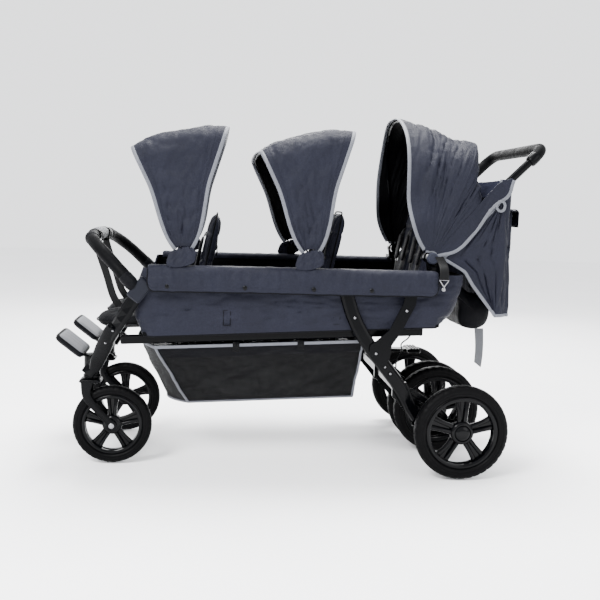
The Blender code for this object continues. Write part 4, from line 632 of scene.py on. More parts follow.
def tyre_form(radius, width):
    """Foam tyre: stepped sidewalls, round shoulders and a tread cut by rings and shoulder notches."""
    half = [
        (0.748, 0.00), (0.748, 0.20), (0.770, 0.33), (0.775, 0.385), (0.790, 0.43), (0.815, 0.470),
        (0.845, 0.488), (0.852, 0.470), (0.860, 0.470), (0.868, 0.492), (0.905, 0.480), (0.940, 0.440),
        (0.965, 0.385), (0.980, 0.330), (0.9865, 0.290), (0.9780, 0.275), (0.9780, 0.255),
        (0.9910, 0.240), (0.9965, 0.130), (0.9975, 0.085), (0.9850, 0.070), (0.9850, 0.045),
        (0.9990, 0.030), (1.0, 0.0),
    ]
    profile = np.array(mirrored(half))
    t = circle(216)[:, None]
    r, h = np.broadcast_arrays(profile[:, 0] * radius, profile[:, 1] * width + 0 * t)
    shoulder = (profile[:, 0] > 0.93) & (np.abs(profile[:, 1]) > 0.20)
    notch = np.clip(4 * np.cos(36 * (t + 0.06 * np.sign(h))) - 2.6, 0, 1)
    r = r - 0.0022 * notch * shoulder
    points = np.stack([r * np.cos(t), h, r * np.sin(t)], -1)
    return points.reshape(-1, 3), [(quads(len(t), len(profile), True, True), 0)]


def make_wheels(materials):
    """Six wheels: four on the rear axle, the outer two with hub caps, and one in each caster fork."""
    gloss, rubber = materials["gloss_black"], materials["tyre_black"]
    rear_tyre, front_tyre = tyre_form(REAR_R, REAR_W), tyre_form(FRONT_R, FRONT_W)
    capped, plain = (wheel_forms(REAR_R, REAR_W, REAR_HUB, cap) for cap in (True, False))
    front = wheel_forms(FRONT_R, FRONT_W, FRONT_HUB, False)
    for side, sign in SIDES.items():
        turn = np.diag([1.0, sign, 1.0])
        sets = (
            (f"rear_{side}_outer", capped, rear_tyre, (REAR_AXLE_X, sign * REAR_OUTER_Y, REAR_R)),
            (f"rear_{side}_inner", plain, rear_tyre, (REAR_AXLE_X, sign * REAR_INNER_Y, REAR_R)),
            (f"front_{side}", front, front_tyre, (FRONT_AXLE_X, sign * FRONT_Y, FRONT_R)),
        )
        for name, rim_forms, tyre, place in sets:
            body = f"{name}_wheel"
            rim = [moved(form, turn, place) for form in rim_forms]
            make(f"{name}_spoked_rim", rim, gloss, body, "gloss_black", f"{name}_rim")
            foam = [moved(tyre, turn, place)]
            make(f"{name}_foam_tyre", foam, rubber, body, "tyre_black", f"{name}_tyre", angle=60.0)


def make_forks(materials):
    """Caster forks: a rounded crown, two curved blades with round bosses, steel bolts and the stem."""
    inner = FRONT_W / 2 + 0.003
    wide = np.interp(np.linspace(0, 1, 24), (0, 0.2, 0.6, 1), (0.019, 0.0135, 0.0105, 0.0125))[:, None]
    blade = ovals(wide, 0 * wide + 0.0036, 16, 2.4)
    plate = [(0.0, 0.0), (0.020, 0.0), (0.021, 0.002), (0.0205, 0.0045), (0.0, 0.0045)]
    boss = [
        (0.0, -0.0036), (0.0150, -0.0036), (0.0160, -0.002), (0.0160, 0.0026), (0.0145, 0.0040),
        (0.0, 0.0042),
    ]
    bolt = [
        (0.0, 0.004), (0.0075, 0.004), (0.0080, 0.0055), (0.0062, 0.0070), (0.0030, 0.0074),
        (0.0, 0.0066),
    ]
    low, high, half = CROWN_Z + 0.01, CROWN_Z + 0.060, inner + 0.004
    stem = [(0.0, low), (0.0063, low), (0.0063, high), (0.0, high)]
    pin = [(0.0, -half), (0.0045, -half), (0.0045, half), (0.0, half)]
    for side, sign in SIDES.items():
        y = sign * FRONT_Y

        def crown(u, v, face):
            height = CROWN_Z + CROWN_H * (0.5 + 0.49 * dome(u, v, 5, 5) * face)
            return CASTER_X - 0.003 + 0.033 * u, y + (inner + 0.0072) * v, height

        top = (CASTER_X, y, CROWN_Z + CROWN_H - 0.0047)
        forms = [pillow(crown, 18, 18), lathe(plate, top, 32, "z")]
        for edge in SIDES.values():
            centre = y + edge * (inner + 0.0036)
            end = (FRONT_AXLE_X, centre, FRONT_R)
            knots = [
                (CASTER_X - 0.012, centre, CROWN_Z + 0.008), (CASTER_X - 0.014, centre, CROWN_Z - 0.030),
                (CASTER_X + 0.002, centre, FRONT_R + 0.068), (FRONT_AXLE_X - 0.016, centre, FRONT_R + 0.020),
                end,
            ]
            forms.append(sweep(curve(knots, len(wide)), blade, (0, 1, 0)))
            forms += [stud(boss, end, edge, 32), stud(bolt, end, edge, 24, slot=1)]
        forms.append(lathe(stem, (CASTER_X, y, 0), 24, "z", slot=1))
        forms.append(lathe(pin, (FRONT_AXLE_X, y, FRONT_R), 20, slot=1))
        looks = materials["moulded_black"], materials["bright_steel"]
        make(f"{side}_caster_fork", forms, looks, f"{side}_fork_body", "moulded_black", f"{side}_fork")


# Hoops
def hoop(length, half, corner, bend, start, count, foot=None):
    """Even points (distance from the pivot, y) up one leg of a hoop, round its top and down the other.

    foot is the y of the legs' lower ends, from where they step inward between 0.10 and 0.20 m."""
    s = np.linspace(start, length - corner, 60)
    step = np.clip((s - 0.100) / 0.100, 0, 1)
    leg = half + ((foot or half) - half) * (1 - step * step * (3 - 2 * step))
    t = np.linspace(0, math.pi / 2, 24)
    y = np.linspace(half - corner, 0, 40)
    line = np.concatenate([
        np.stack([s, leg], -1),
        np.stack([length - corner + corner * np.sin(t), half - corner + corner * np.cos(t)], -1)[1:],
        np.stack([length + 0 * y, y], -1)[1:],
    ])
    line[:, 0] += np.where(line[:, 0] > length - corner, bend * (1 - (line[:, 1] / half) ** 2), 0.0)
    return resample(np.concatenate([line, line[-2::-1] * (1, -1)]), count)


def hoop_row(line, angle, x, z, flare, reach):
    """World points of a hoop line whose plane stands at this angle, flared near the pivot."""
    px, pz = polar(angle + flare * np.clip(1 - line[:, 0] / reach, 0, None) ** 2, line[:, 0], x, z)
    return np.stack([px, line[:, 1], pz], -1)


def hoop_top(bow, x=PIVOT_X, z=PIVOT_Z):
    """World place of the middle of a hoop given as (angle, length)."""
    px, pz = polar(*bow, x, z)
    return px, 0.0, pz


def band(points, normals, width, thickness):
    """Flat binding folded over an edge: an oval section whose wide side lies in the cloth."""
    return sweep(points, oval(width / 2, thickness / 2, 14, 2.6), normals)


# Rear hood: angle, length, half width, corner radius and bend of its hoop lines, front to rear
HOOD_STATIONS = np.array([
    (100.0, 0.4275, 0.2450, 0.215, 0.004), (98.8, 0.4265, 0.2450, 0.215, 0.004),
    (92.5, 0.4085, 0.2490, 0.190, 0.004), (86.0, 0.3900, 0.2560, 0.165, 0.006),
    (80.5, 0.3750, 0.2620, 0.140, 0.008), (74.5, 0.3670, 0.2700, 0.118, 0.012),
    (68.0, 0.3660, 0.2755, 0.105, 0.016), (67.1, 0.3640, 0.2755, 0.105, 0.016),
    (61.5, 0.3000, 0.2755, 0.055, 0.007), (55.5, 0.2560, 0.2755, 0.050, 0.002),
    (50.0, 0.2350, 0.2755, 0.030, 0.0),
])


def hood_grid(high, low, rows, cols, seed, over=0.0069):
    """Hood cloth between two angles: hoop lines sized by the stations, with tension folds and sag."""
    angles, *sizes = HOOD_STATIONS[::-1].T
    grid = []
    for angle in np.linspace(high, low, rows):
        length, half, corner, bend = (np.interp(angle, angles, size) for size in sizes)
        line = hoop(length + over, half + over, corner + over, bend, 0.034, cols, HOOD_FOOT_Y + over)
        flare = 34.0 * max(0.0, (angle - MID_BOW[0]) / 30.8) ** 3
        grid.append(hoop_row(line, angle, PIVOT_X, PIVOT_Z, flare, length))
    grid = np.array(grid)
    u, v = lattice(np.linspace(0, 1, rows), np.linspace(-1, 1, cols))
    along = np.abs(v)
    room = edge_fade(u, 0.30) * np.clip(2.2 * (1 - along), 0.20, 1)
    folds = 0.0056 * creases(u * 1.6, along * 0.9 + 0.3 * v, seed)
    pulls = 0.0034 * ridges(u * 2.6 + along * 1.4, along * 0.9 + 0.2 * v, seed + 40)
    folds += pulls * np.clip(3.0 * along - 0.2, 0.35, 1)
    folds += 0.0016 * creases(u * 4.5 - along * 2.5, along * 5.0 + 0.3 * v, seed + 41)
    sag = 0.010 * np.sin(math.pi * u) ** 2 * np.clip(1.4 * (1 - along), 0, 1)
    return grid + facing(grid, HOOD_CORE) * (folds * room - sag)[..., None]


def make_hood(materials):
    """The big rear hood: cloth over its two bows, its seam, front binding, wings and a blank tag."""
    dark, lining, grey = materials["cloth_dark"], materials["lining"], materials["binding"]
    grid = hood_grid(HOOD_HEM, HOOD_SEAM, 60, 150, 11)
    normals = facing(grid, HOOD_CORE)
    front = build("hood_front_cloth", [shell(grid, CLOTH, 1, core=HOOD_CORE)], dark, lining, angle=70.0)
    ends = hoop_top(FRONT_BOW), hoop_top(MID_BOW)
    bend_between(front, "hood_front", "hood_middle", *ends, "cloth_dark", "hood_fabric")

    rear_grid = hood_grid(HOOD_SEAM, HOOD_END, 36, 150, 12)
    forms = [shell(rear_grid, CLOTH, 1, core=HOOD_CORE)]
    looks = dark, lining
    rear = make("hood_rear_cloth", forms, looks, "hood_middle", "cloth_dark", "hood_fabric", angle=70.0)
    seam = sweep(grid[-1] + normals[-1] * 0.0008, oval(0.0042, 0.0016, 10), normals[-1])
    make("hood_mid_seam", [seam], dark, "hood_middle", "cloth_dark")
    lip = band(grid[0], normals[0], 0.0115, 0.0046)
    make("hood_front_binding", [lip], grey, "hood_front", "cloth_grey")
    make_wings(materials)

    row, spot = 4, int(0.30 * len(grid[0]))
    centre, normal = grid[row][spot], normals[row][spot]
    along = unit(grid[row][spot + 1] - grid[row][spot - 1])
    across = np.cross(normal, along)

    def tag(u, v, face):
        lift = 0.0021 + 0.0007 * face * dome(u, v, 8, 8)
        where = centre + along * (0.013 * u)[..., None] + across * (0.0065 * v)[..., None]
        return np.moveaxis(where + normal * lift[..., None], -1, 0)

    make("hood_blank_tag", [pillow(tag, 14, 10)], materials["cloth_grey"], "hood_front", "cloth_grey")


def make_wings(materials):
    """The hood's side wings down to the handle, the covers round its pivots, bindings and tie loops."""
    dark, lining, grey = materials["cloth_dark"], materials["lining"], materials["binding"]
    reach = WING_START + (WING_END - WING_START) * np.linspace(0.0, 1.0, 48)
    top = np.interp(reach, (0.034, 0.2419, 0.30, WING_END), (HOOD_END, HOOD_END, 49.5, 45.8))
    low_reach = (WING_START, 0.0486, 0.0915, 0.1212, 0.1877, 0.2213, 0.2418, 0.2693, 0.2989, WING_END)
    low = np.interp(reach, low_reach, (24.0, 14.0, 19.5, 27.5, 36.6, 40.5, 41.5, 41.0, 39.0, 45.0))
    low = np.convolve(np.pad(low, 3, mode="edge"), np.ones(7) / 7, "valid")
    t = np.linspace(0, 1, 16)[:, None]
    x, z = polar(top + (low - top) * t, reach[None])
    y = WING_Y - 0.0155 * np.clip((reach - 0.20) / 0.145, 0, 1) ** 2
    y = y + 0.0015 * creases(t * 0.8 + 0 * reach, reach * 7 + 0 * t, 5)
    grid = grid_of(x, -y, z)

    ring_angle, ring_reach = np.linspace(131.0, 24.0, 40)[None], np.linspace(0.0200, 0.0360, 6)[:, None]
    ring_reach = ring_reach * np.clip(1 + (ring_angle - 108.0) / 60.0, 1, 1.5) + 0 * ring_angle
    ring_x, ring_z = polar(ring_angle, np.minimum(ring_reach, 0.0360))
    tie_x, tie_z = polar(38.2, 0.262)
    turn = circle(40)
    for side, sign in SIDES.items():
        flip, away = np.array([1.0, -sign, 1.0]), (0.0, sign, 0.0)
        sheets = grid * flip, grid_of(ring_x, sign * 0.2834, ring_z)
        forms = [shell(sheet, CLOTH, 1, core=HOOD_CORE) for sheet in sheets]
        base = grid_of(ring_x[0], sign * 0.2826, ring_z[0])
        trims = [band(grid[-1] * flip, away, 0.0105, 0.0044), band(base, away, 0.0095, 0.0040)]
        looks = dark, lining
        wing = make(f"hood_{side}_wing", forms, looks, "push_handle", "cloth_dark", angle=70.0)
        make(f"hood_{side}_wing_binding", trims, grey, "push_handle", "cloth_grey")
        loop = grid_of(tie_x + 0.0125 * np.cos(turn), sign * 0.2835, tie_z + 0.0150 * np.sin(turn))
        eye = sweep(loop, oval(0.0042, 0.0024, 10), away, closed=True)
        make(f"hood_{side}_tie_loop", [eye], grey, "push_handle", "cloth_grey")


# Cape, panel and bag behind the last row
def cape_edge(z):
    """x where the cape's side begins at height z: behind the handle tube, then along its sloping hem."""
    along_tube = PIVOT_X + 0.0393 + (z - PIVOT_Z) / math.tan(math.radians(HANDLE_ANGLE))
    hem = np.interp(z, (0.462, 0.489, 0.580, 0.6205, 0.659), (0.600, 0.590, 0.516, 0.490, 0.4215))
    return np.where(z > PIVOT_Z - 0.001, along_tube, np.maximum(hem, PIVOT_X + 0.040))


def make_cape(materials):
    """Cape behind the last row with deep soft folds, and its grey binding."""
    rows, side_x, side_y = 90, CAPE_BACK_X - CAPE_CORNER, CAPE_HALF - CAPE_CORNER
    t = np.linspace(0, math.pi / 2, 14)[1:]
    turn = np.stack([side_x + CAPE_CORNER * np.sin(t), side_y + CAPE_CORNER * np.cos(t)], -1)
    y = np.linspace(side_y, 0, 40)[1:]
    back = np.stack([0 * y + CAPE_BACK_X, y], -1)
    grid = []
    for z in np.linspace(CAPE_TOP_Z, CAPE_HEM_Z, rows):
        reach = min(float(cape_edge(z)), side_x - 0.003)
        side = np.stack([np.linspace(reach, side_x, 30), np.full(30, CAPE_HALF)], -1)
        half = np.concatenate([side, turn, back])
        line = np.concatenate([half, half[-2::-1] * (1, -1)])
        grid.append(np.c_[line, np.full(len(line), z)])
    grid = np.array(grid)
    fall = np.clip((CAPE_FALL_Z - grid[..., 2]) / (CAPE_FALL_Z - CAPE_HEM_Z), 0, 1)
    fold = 0.009 * fall * (1 - np.cos(grid[..., 1] / CAPE_HALF * 3 * math.pi))
    grid[..., 0] += np.where(grid[..., 0] > CAPE_BACK_X - 0.001, fold, 0.0)
    u, v = lattice(np.linspace(0, 1, rows), np.linspace(0, 1, grid.shape[1]))
    inside = (0.5, 0.0, 0.67)
    normal = facing(grid, inside)
    drape = 0.0040 * creases(u * 0.8, v * 5.0, 31) * edge_fade(v, 0.05) * (0.35 + 0.65 * fall)
    drape += 0.0040 * ridges(u * 0.8 + v * 3.0, v * 9.0, 33) * edge_fade(v, 0.05) * edge_fade(u, 0.08)
    grid = grid + normal * drape[..., None]
    forms = [shell(grid, CLOTH, core=inside)]
    dark = materials["cloth_dark"]
    cape = make("cape_cloth", forms, dark, "push_handle", "cloth_dark", "rear_cape", angle=70.0)
    edges = [(grid[-1], normal[-1])] + [(grid[:, col], normal[:, col]) for col in (0, -1)]
    hem = [band(line, out, 0.0105, 0.0044) for line, out in edges]
    make("cape_binding", hem, materials["binding"], "push_handle", "cloth_grey")


def make_panel(materials):
    """Panel of thin cloth from the hood's rear edge up to the top of the cape."""
    y = np.linspace(-PANEL_HALF, PANEL_HALF, 60)[None, :]
    t = np.linspace(0, 1, 24)[:, None]
    x0, z0 = polar(HOOD_END, 0.2419)
    x = x0 + (0.6262 - x0) * t + 0 * y
    rise = 0.016 * np.sin(math.pi * t) * (1 - (y / PANEL_HALF) ** 4)
    z = z0 + (0.899 - z0) * t**1.3 + rise + 0.003 * creases(t * 1.8, y * 7, 8)
    grid = grid_of(x, y, z)
    forms, looks = [shell(grid, CLOTH, 1, core=HOOD_CORE)], (materials["cloth_flat"], materials["lining"])
    panel = make("hood_rear_panel", forms, looks, "push_handle", "cloth_dark", angle=70.0)


def make_bag(materials):
    """Storage bag on the cape: a crumpled pocket, its flap and the piping along the flap's edge."""
    dark = materials["cloth_dark"]
    low, high = BAG_Z
    bag_x = CAPE_BACK_X + 0.0015 + 0.018 * (CAPE_FALL_Z - low) / (CAPE_FALL_Z - CAPE_HEM_Z)

    def pocket(u, v, face):
        sag = 1.0 + 0.28 * (1 - v) / 2
        crumple = 1 + 0.10 * creases(u * 1.1, v * 0.8, 41)
        depth = 0.5 * BAG_DEPTH * (1 + face * dome(u, v, 5, 5) * sag * crumple * 0.97)
        width = BAG_HALF * u * (1 - 0.025 * (1 - v * v))
        height = (low + high) / 2 + (high - low) / 2 * v * (1 - 0.04 * (1 - u * u))
        return bag_x + depth * 0.92, width, height

    def flap(u, v, face):
        cap = dome(u, v, 8, 6)
        t = (1 - v) / 2
        x = bag_x + 0.002 + (BAG_DEPTH + 0.003) * np.clip(t / 0.38, 0, 1) ** 0.8
        z = high + 0.004 - 0.052 * np.clip((t - 0.30) / 0.70, 0, 1) - 0.002 * creases(u * 2, v, 6)
        return x + 0.0035 * face * cap, (BAG_HALF + 0.003) * u, z + 0.0035 * face * cap * (t < 0.35)

    forms = [pillow(pocket, 70, 34)]
    bag = make("bag_body", forms, dark, "push_handle", "cloth_dark", "storage_bag", angle=60.0)
    make("bag_flap", [pillow(flap, 60, 36)], dark, "push_handle", "cloth_dark", angle=60.0)
    t = np.linspace(-1, 1, 50)
    edge = grid_of(bag_x + BAG_DEPTH + 0.0065, (BAG_HALF + 0.001) * t, high - 0.0475)
    piping = sweep(edge, oval(PIPING_R, PIPING_R, 8), scale=domed(50))
    make("bag_flap_piping", [piping], materials["webbing"], "push_handle", "cloth_dark")


# Small canopies
def make_canopies(materials):
    """Two small canopies, each cloth with hems and grey bindings, and the tabs at its feet."""
    for number, x in enumerate(CANOPY_X, 1):
        make_canopy(number, x, materials)
        for side, sign in SIDES.items():
            make_foot_tab(number, x, side, sign, materials["cloth_dark"])


def make_canopy(number, x, materials):
    """Cloth of one canopy stretched over its two hoops, with a stitched hem and binding on each edge."""
    dark, lining, grey = materials["cloth_dark"], materials["lining"], materials["binding"]
    rows, cols, over, beyond = 46, 170, 0.0053, 0.03
    shares = np.linspace(-beyond, 1 + beyond, rows)
    half = CANOPY_HALF - 0.003 + over
    grid = []
    for share in shares:
        sag = 0.010 * max(0.0, math.sin(math.pi * min(max(share, 0.0), 1.0))) ** 2
        line = hoop(CANOPY_FRONT[1] + 0.046 * share + over - sag, half, 0.0503, 0.010, 0.034, cols)
        angle = CANOPY_FRONT[0] - 41.0 * share
        grid.append(hoop_row(line, angle, x, CANOPY_Z, 28.0 * (1 - 2 * share), 0.24))
    grid = np.array(grid)
    u, v = lattice((shares + beyond) / 1.06, np.linspace(-1, 1, cols))
    inside = (x, 0.0, CANOPY_Z)
    normal = facing(grid, inside)
    along = np.abs(v)
    low = np.clip((along - 0.55) / 0.30, 0, 1)
    folds = 0.0044 * creases(u * 0.9 + 0.25 * v, along * 2.8, 20 + number)
    folds += 0.0030 * low * ridges(u * 0.8, along * 7.0 + 0.4 * u, 24 + number)
    folds += 0.0022 * ridges(u * 1.6 + 0.4 * v, along * 6.0, 28 + number)
    stitch = groove(u - 0.125, 0.016) + groove(u - 0.875, 0.016) + groove(along - 0.40, 0.012)
    raised = folds * edge_fade(u, 0.22) * edge_fade((v + 1) / 2, 0.04) - 0.0022 * np.minimum(stitch, 1)
    grid = grid + normal * raised[..., None]
    forms = [shell(grid, CLOTH, 1, core=inside)]
    cloth = build(f"canopy_{number}_cloth", forms, dark, lining, angle=70.0)
    front, rear = f"canopy_{number}_front", f"canopy_{number}_rear"
    ends = (hoop_top(bow, x, CANOPY_Z) for bow in (CANOPY_FRONT, CANOPY_REAR))
    bend_between(cloth, front, rear, *ends, "cloth_dark", f"canopy_{number}_fabric")
    for row, seam_row, body in ((0, 4, front), (-1, -5, rear)):
        binding = band(grid[row], normal[row], 0.0110, 0.0046)
        make(f"{body}_binding", [binding], grey, body, "cloth_grey")
        out = normal[seam_row][3:-3]
        hem = sweep(grid[seam_row][3:-3] + out * 0.0011, oval(0.0010, 0.0008, 8), out)
        make(f"{body}_hem_seam", [hem], dark, body, "cloth_dark")


def make_foot_tab(number, x, side, sign, material):
    """Crumpled padded tab of cloth that hides one foot of a canopy."""
    def tab(u, v, face):
        half = 0.037 + 0.006 * (1 - v) / 2 - 0.014 * np.abs(v) ** 4
        crumple = creases(u * 1.4, v * 1.1, 3) * (1 - u**4) * (1 - v**4)
        out = 0.3555 + 0.012 * (1 - v) / 2 + 0.0046 * face * dome(u, v, 4, 4) + 0.0024 * crumple
        rise = 0.028 * v * (1 - 0.16 * u * u) + 0.0025 * creases(u * 2.2, 0 * v, 9) * np.clip(v, 0, 1)
        return x - 0.010 + half * u + 0.008 * (v + 1) / 2, sign * out, 0.648 + rise + 0.004 * u

    name = f"canopy_{number}_{side}_foot_tab"
    foot = make(name, [pillow(tab, 34, 30)], material, "chassis", "cloth_dark", angle=60.0)


# Tub
def tub_front(z):
    """x of the tub's front wall at height z."""
    heights = (0.415, 0.437, 0.470, 0.50, 0.56, 0.6145)
    return np.interp(z, heights, (-0.470, -0.476, -0.489, -0.492, -0.486, -0.470))


def tub_rear(z):
    """x of the tub's rear wall at height z."""
    return np.interp(z, (0.455, 0.509, 0.600, 0.6145), (0.404, 0.440, 0.472, 0.474))


def tub_plan():
    """Line round the tub, open at the front: share of the length, y, and shift along x at a corner."""
    side_y, quarter = TUB_HALF - TUB_CORNER, np.linspace(0, math.pi / 2, 14)
    half = [(0.0, y, 0.0) for y in np.linspace(0.297, side_y, 3)]
    half += [(0.0, side_y + TUB_CORNER * math.sin(a), TUB_CORNER * (1 - math.cos(a))) for a in quarter[1:]]
    half += [(share, TUB_HALF, TUB_CORNER * (1 - 2 * share)) for share in np.linspace(0.0, 1.0, 130)[1:-1]]
    half += [(1.0, side_y + TUB_CORNER * math.cos(a), -TUB_CORNER * (1 - math.sin(a))) for a in quarter]
    across = [(1.0, y, 0.0) for y in np.linspace(side_y, -side_y, 60)[1:-1]]
    return np.concatenate([np.array(half + across) * (1, -1, 1), half[::-1]])


def make_tub(materials):
    """Tub of cloth panels: a creased wall round three sides, floor, piping, stitched patches and flaps."""
    dark, lining, black = materials["cloth_dark"], materials["lining"], materials["pad_black"]
    share, y, shift = tub_plan().T[:, None]
    level = np.linspace(0, 1, 40)[:, None]
    foot = floor_z(-0.472 + 0.876 * share)
    z = foot + (0.612 - foot) * level
    x = tub_front(z) * (1 - share) + tub_rear(z) * share + shift
    grid = grid_of(x, y, z)
    inside = (0.0, 0.0, 0.55)
    normal = facing(grid, inside)
    run = np.concatenate([[0], np.cumsum(np.linalg.norm(np.diff(grid[0], axis=0), axis=1))])[None]
    belly = 0.0035 * np.sin(math.pi * level**0.8) * groove(np.abs(y) / TUB_HALF - 1, 0.3)
    folds = creases(run * 2.3, level * 0.75, 51) + 0.7 * ridges(run * 5.0 + level * 1.5, level * 1.1, 52)
    folds = 0.0046 * folds * edge_fade(level, 0.2) * edge_fade(run / run[0, -1], 0.02)
    grid = grid + normal * (belly + folds)[..., None]
    wall = [shell(grid, 0.0045, 1, core=inside)]
    make("tub_wall", wall, (dark, lining), "chassis", "cloth_dark", "tub_liner", angle=70.0)

    x, y = lattice(np.linspace(-0.470, 0.404, 60), np.linspace(-0.327, 0.327, 50))
    sag = 0.002 * np.cos(y * 9) ** 2 * edge_fade((x + 0.47) / 0.874)
    bed = grid_of(x, y, floor_z(x) + 0.0052 - sag)
    make("tub_floor", [shell(bed, 0.009)], lining, "chassis", "cloth_dark")

    foot_line = grid[0] - np.array([0, 0, 0.001])
    forms = [sweep(foot_line, oval(0.0030, 0.0030, 10), scale=domed(len(foot_line), 0.01))]
    corners = [(-0.010, -0.022), (0.010, -0.022), (0.010, 0.022), (-0.010, 0.022), (-0.010, -0.022)]
    for sign in SIDES.values():
        for px, pz in ((-0.228, 0.474), (0.093, 0.483)):
            line = resample(corners, 60) + (px, pz)
            gap = (grid[..., 0] - px) ** 2 + (grid[..., 2] - pz) ** 2
            near = np.argmin(gap + 9 * (grid[..., 1] - sign * TUB_HALF) ** 2)
            out = abs(grid.reshape(-1, 3)[near][1]) + 0.0024
            forms.append(sweep(grid_of(line[:, 0], sign * out, line[:, 1]), oval(0.0011, 0.0011, 6)))
    make("tub_piping_and_stitching", forms, black, "chassis", "cloth_dark")
    for side, sign in SIDES.items():
        make_flap(side, sign, materials)


def make_flap(side, sign, materials):
    """Padded flap folded over a side rail: hook-shaped, puckered along its length, with snaps."""
    knots = [
        (0.3235, 0.604), (0.3245, 0.6145), (0.3310, 0.6195), (0.3450, 0.6205), (0.3590, 0.6185),
        (0.3660, 0.609), (0.3680, 0.592), (0.3685, 0.572), (0.3675, 0.5505),
    ]
    line = curve(knots, 44)
    y, z = line.T[:, None]
    share = np.linspace(0, 1, len(line))[None]
    x = np.linspace(FLAP_FRONT_X, FLAP_REAR_X, 190)[:, None]
    near_end = np.minimum(x - FLAP_FRONT_X, FLAP_REAR_X - x)
    corner = np.clip(FLAP_EDGE_R - near_end, 0, FLAP_EDGE_R)
    lift = FLAP_EDGE_R - np.sqrt(np.clip(FLAP_EDGE_R**2 - corner**2, 0, None))
    z = z + lift * np.clip((0.60 - z) / 0.0495, 0, 1)
    pucker = creases(x * 9, share * 1.2, 61 if sign < 0 else 62) * edge_fade(share, 0.2)
    fine = 0.8 * creases(x * 26, share * 0.8 + x * 5, 65 if sign < 0 else 66)
    pucker += fine * edge_fade(share, 0.12)
    y = y + 0.0019 * pucker
    z = z + 0.0010 * creases(x * 11, share, 63) * (share > 0.2)
    grid = grid_of(x, sign * y, z)
    dimple = sum(np.exp(-(((x - s) / 0.014) ** 2 + ((z - SNAP_Z) / 0.012) ** 2)) for s in SNAP_X)
    seam = groove(share - 0.90, 0.022)
    thick = 0.0088 * edge_fade(share, 0.10) ** 0.4 * (1 - 0.45 * seam) * (1 - 0.5 * np.clip(dimple, 0, 1))
    ends = edge_fade((x - FLAP_FRONT_X) / (FLAP_REAR_X - FLAP_FRONT_X), 0.012) ** 0.4
    forms = [shell(grid, np.clip(thick * ends, 0.0016, None))]
    flap = make(f"{side}_rim_flap", forms, materials["cloth_dark"], "chassis", "cloth_dark", angle=70.0)
    edge = np.concatenate([grid[0, 20:], grid[1:, -1], grid[-1, -2:19:-1]])
    bead = sweep(resample(edge, 220), oval(PIPING_R, PIPING_R, 8))
    make(f"{side}_flap_piping", [bead], materials["pad_black"], "chassis", "cloth_dark")
    profile = [
        (0.0, -0.003), (0.0062, -0.003), (0.0062, 0.0006), (0.0048, 0.0018), (0.0026, 0.0022),
        (0.0, 0.0023),
    ]
    snaps = [stud(profile, (s, sign * SNAP_Y, SNAP_Z), sign, 24) for s in SNAP_X]
    make(f"{side}_flap_snaps", snaps, materials["gloss_black"], "chassis", "gloss_black")


# Seats
def apply_modifiers(obj):
    """Makes the shape that an object's modifiers give into its own mesh."""
    bpy.context.view_layer.update()
    graph = bpy.context.evaluated_depsgraph_get()
    mesh = bpy.data.meshes.new_from_object(obj.evaluated_get(graph))
    obj.modifiers.clear()
    obj.data = mesh
    return mesh


def read_points(mesh):
    points = np.empty(len(mesh.vertices) * 3, np.float32)
    mesh.vertices.foreach_get("co", points)
    return points.reshape(-1, 3)


def puff(obj, cap, frames=20):
    """Fills a padded form like a pillow: cloth under gentle pressure, no point moving further than cap."""
    remesh = obj.modifiers.new("even mesh", "REMESH")
    remesh.mode, remesh.voxel_size = "VOXEL", 0.0055
    mesh = apply_modifiers(obj)
    rest = read_points(mesh)
    cloth = obj.modifiers.new("filling", "CLOTH")
    cloth.settings.use_pressure = True
    cloth.settings.uniform_pressure_force = 4.0
    cloth.settings.effector_weights.gravity = 0.0
    cloth.settings.quality = 4
    cloth.collision_settings.use_collision = False
    cloth.point_cache.frame_start, cloth.point_cache.frame_end = 1, frames
    for step in range(1, frames + 1):
        bpy.context.scene.frame_set(step)
    graph = bpy.context.evaluated_depsgraph_get()
    shift = read_points(obj.evaluated_get(graph).to_mesh()) - rest
    obj.evaluated_get(graph).to_mesh_clear()
    obj.modifiers.clear()
    bpy.context.scene.frame_set(1)
    far = np.linalg.norm(shift, axis=1, keepdims=True)
    shift *= np.minimum(1.0, cap / np.maximum(far, 1e-9))
    mesh.vertices.foreach_set("co", (rest + shift).ravel())
    mesh.update()


def subdivide(obj):
    """Splits every face in four and shades the result smooth."""
    finer = obj.modifiers.new("finer", "SUBSURF")
    finer.levels = finer.render_levels = 1
    mesh = apply_modifiers(obj)
    mesh.polygons.foreach_set("use_smooth", np.ones(len(mesh.polygons), bool))


